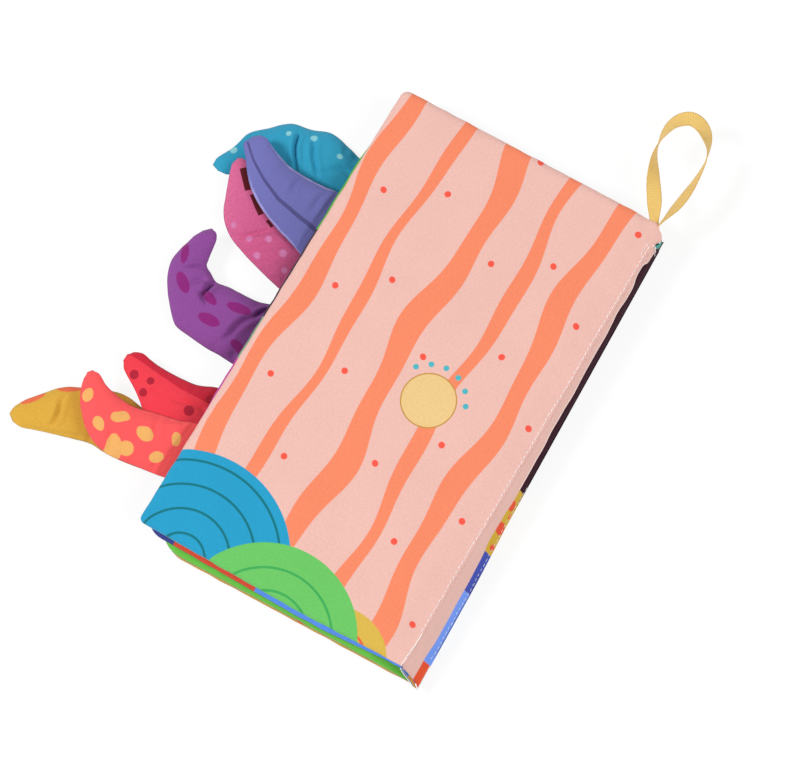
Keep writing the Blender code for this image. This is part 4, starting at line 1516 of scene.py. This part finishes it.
def make_loop():
    line = np.array([(-left * LOOP_WIDTH, up * LOOP_LENGTH) for left, up in LOOP_LINE])
    length = run_along(catmull(line, np.linspace(0, 1, 400)))[-1]
    stations = np.linspace(0, 1, int(length / (RIB_PITCH / 4)))
    centre = catmull(line, stations)
    ahead = np.gradient(centre, axis=0)
    ahead /= np.linalg.norm(ahead, axis=1)[:, None]
    angle = loop_angles(line, stations)
    left = np.stack([-ahead[:, 1], ahead[:, 0], 0 * angle], axis=1)
    width = left * np.sin(angle)[:, None] + np.array([0, 0, 1.0]) * np.cos(angle)[:, None]
    normal = np.cross(np.concatenate([ahead, np.zeros((len(ahead), 1))], axis=1), width)
    middle = LOOP_ROOT + np.column_stack([centre, LOOP_LIFT * np.cos(np.pi * (1 - stations))])
    run = stations * length
    rib = RIB_HEIGHT * np.cos(2 * np.pi * run / RIB_PITCH)
    pinch = 1 - (1 - LOOP_PINCH[0]) * smoothstep(1 - run / PINCH_LENGTH)
    pinch = pinch - (1 - LOOP_PINCH[1]) * smoothstep(1 - (length - run) / PINCH_LENGTH)
    across = np.array(RIBBON_COLUMNS)
    points = (
        middle[:, None, :]
        + width[:, None, :] * (across[None, :, None] * pinch[:, None, None]) * RIBBON_WIDTH / 2
        + normal[:, None, :] * (rib[:, None, None] * (np.abs(across) < 0.9)[None, :, None])
    )
    flat = np.stack(np.meshgrid(run, across * RIBBON_WIDTH / 2, indexing="ij"), axis=-1)
    obj = new_sheet("ribbon_loop_band", points, flat, ribbon_print(), RIBBON_THICKNESS)
    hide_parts("ribbon_loop")
    bend(obj)


# Stage: a white room with a soft shadow on the floor. Powers are watts, and places and sizes are metres.
FLOOR_HALF = 4.0
FLOOR_DROP = 0.0003
LAMPS = (
    ("key", (-1.4, -0.65, 1.65), 0.7, 30.5),
    ("fill", (1.35, 0.0, 1.3), 1.2, 15.0),
)


def ray_is(tree, first, *others):
    """1 for rays of any of these kinds."""
    path = add_node(tree, "ShaderNodeLightPath")
    found = Field(tree, path.outputs[first])
    for kind in others:
        found = found.most(path.outputs[kind])
    return found.socket


def make_world():
    """White to the camera and in reflections, and a soft grey light on everything."""
    world = bpy.data.worlds.new("studio")
    world.use_nodes = True
    tree = world.node_tree
    lit = tree.nodes["Background"]
    lit.inputs[0].default_value = (1, 1, 1, 1)
    lit.inputs[1].default_value = 0.34
    shown = add_node(tree, "ShaderNodeBackground", {0: (1, 1, 1, 1)})
    direct = ray_is(tree, "Is Camera Ray", "Is Glossy Ray", "Is Transmission Ray")
    mix = add_node(tree, "ShaderNodeMixShader", {0: direct, 1: lit.outputs[0], 2: shown.outputs[0]})
    tree.links.new(mix.outputs[0], tree.nodes["World Output"].inputs[0])
    bpy.context.scene.world = world


def make_floor():
    """A floor that glows nearly white where it is seen, and is plain pale where it only sends light back."""
    material, tree, shader = new_material("pale_floor", 0.5)
    tree.nodes.remove(shader)
    plain = add_node(tree, "ShaderNodeBsdfDiffuse", {0: (0.85, 0.85, 0.85, 1)})
    soft = add_node(tree, "ShaderNodeBsdfDiffuse", {0: (0.16, 0.16, 0.16, 1)})
    glow = add_node(tree, "ShaderNodeEmission", {1: 0.86})
    bright = add_node(tree, "ShaderNodeAddShader", {0: soft.outputs[0], 1: glow.outputs[0]})
    seen = ray_is(tree, "Is Camera Ray", "Is Glossy Ray")
    mix = add_node(tree, "ShaderNodeMixShader", {0: seen, 1: plain.outputs[0], 2: bright.outputs[0]})
    tree.links.new(mix.outputs[0], tree.nodes["Material Output"].inputs[0])
    corners = [(x * FLOOR_HALF, y * FLOOR_HALF, -FLOOR_DROP) for x, y in ((-1, -1), (1, -1), (1, 1), (-1, 1))]
    mesh = bpy.data.meshes.new("floor")
    mesh.from_pydata(corners, [], [(0, 1, 2, 3)])
    mesh.materials.append(material)
    link(bpy.data.objects.new("floor", mesh))


def make_lamp(name, at, size, power):
    data = bpy.data.lights.new(name, "AREA")
    data.shape = "DISK"
    data.size = size
    data.energy = power
    lamp = link(bpy.data.objects.new(name, data))
    lamp.location = at
    lamp.rotation_euler = (-Vector(at)).to_track_quat("-Z", "Y").to_euler()


# Build
bpy.context.scene.view_settings.view_transform = "Standard"
make_camera()
make_world()
make_floor()
for lamp_values in LAMPS:
    make_lamp(*lamp_values)
for leaf_name in reversed(LEAVES):
    make_leaf(leaf_name)
for strip_name in STRIPS:
    make_strip(strip_name)
sewing_thread = thread_print()
make_upper_stitches(sewing_thread)
make_lower_stitches(sewing_thread)
for tail_name in TAILS:
    make_tail(tail_name)
make_loop()

wadding = filling_material("wadding_fluff", "EDEDE8", 0.95, 900.0, 0.0003)
film = filling_material("crinkle_film_sheet", "CCD6DE", 0.3, 300.0, 0.0002)
for leaf_name in LEAVES:
    for node, material in ((f"{leaf_name}_wadding", wadding), (f"{leaf_name}_crinkle_film", film)):
        frame["nodes"][node].material_slots[0].material = material
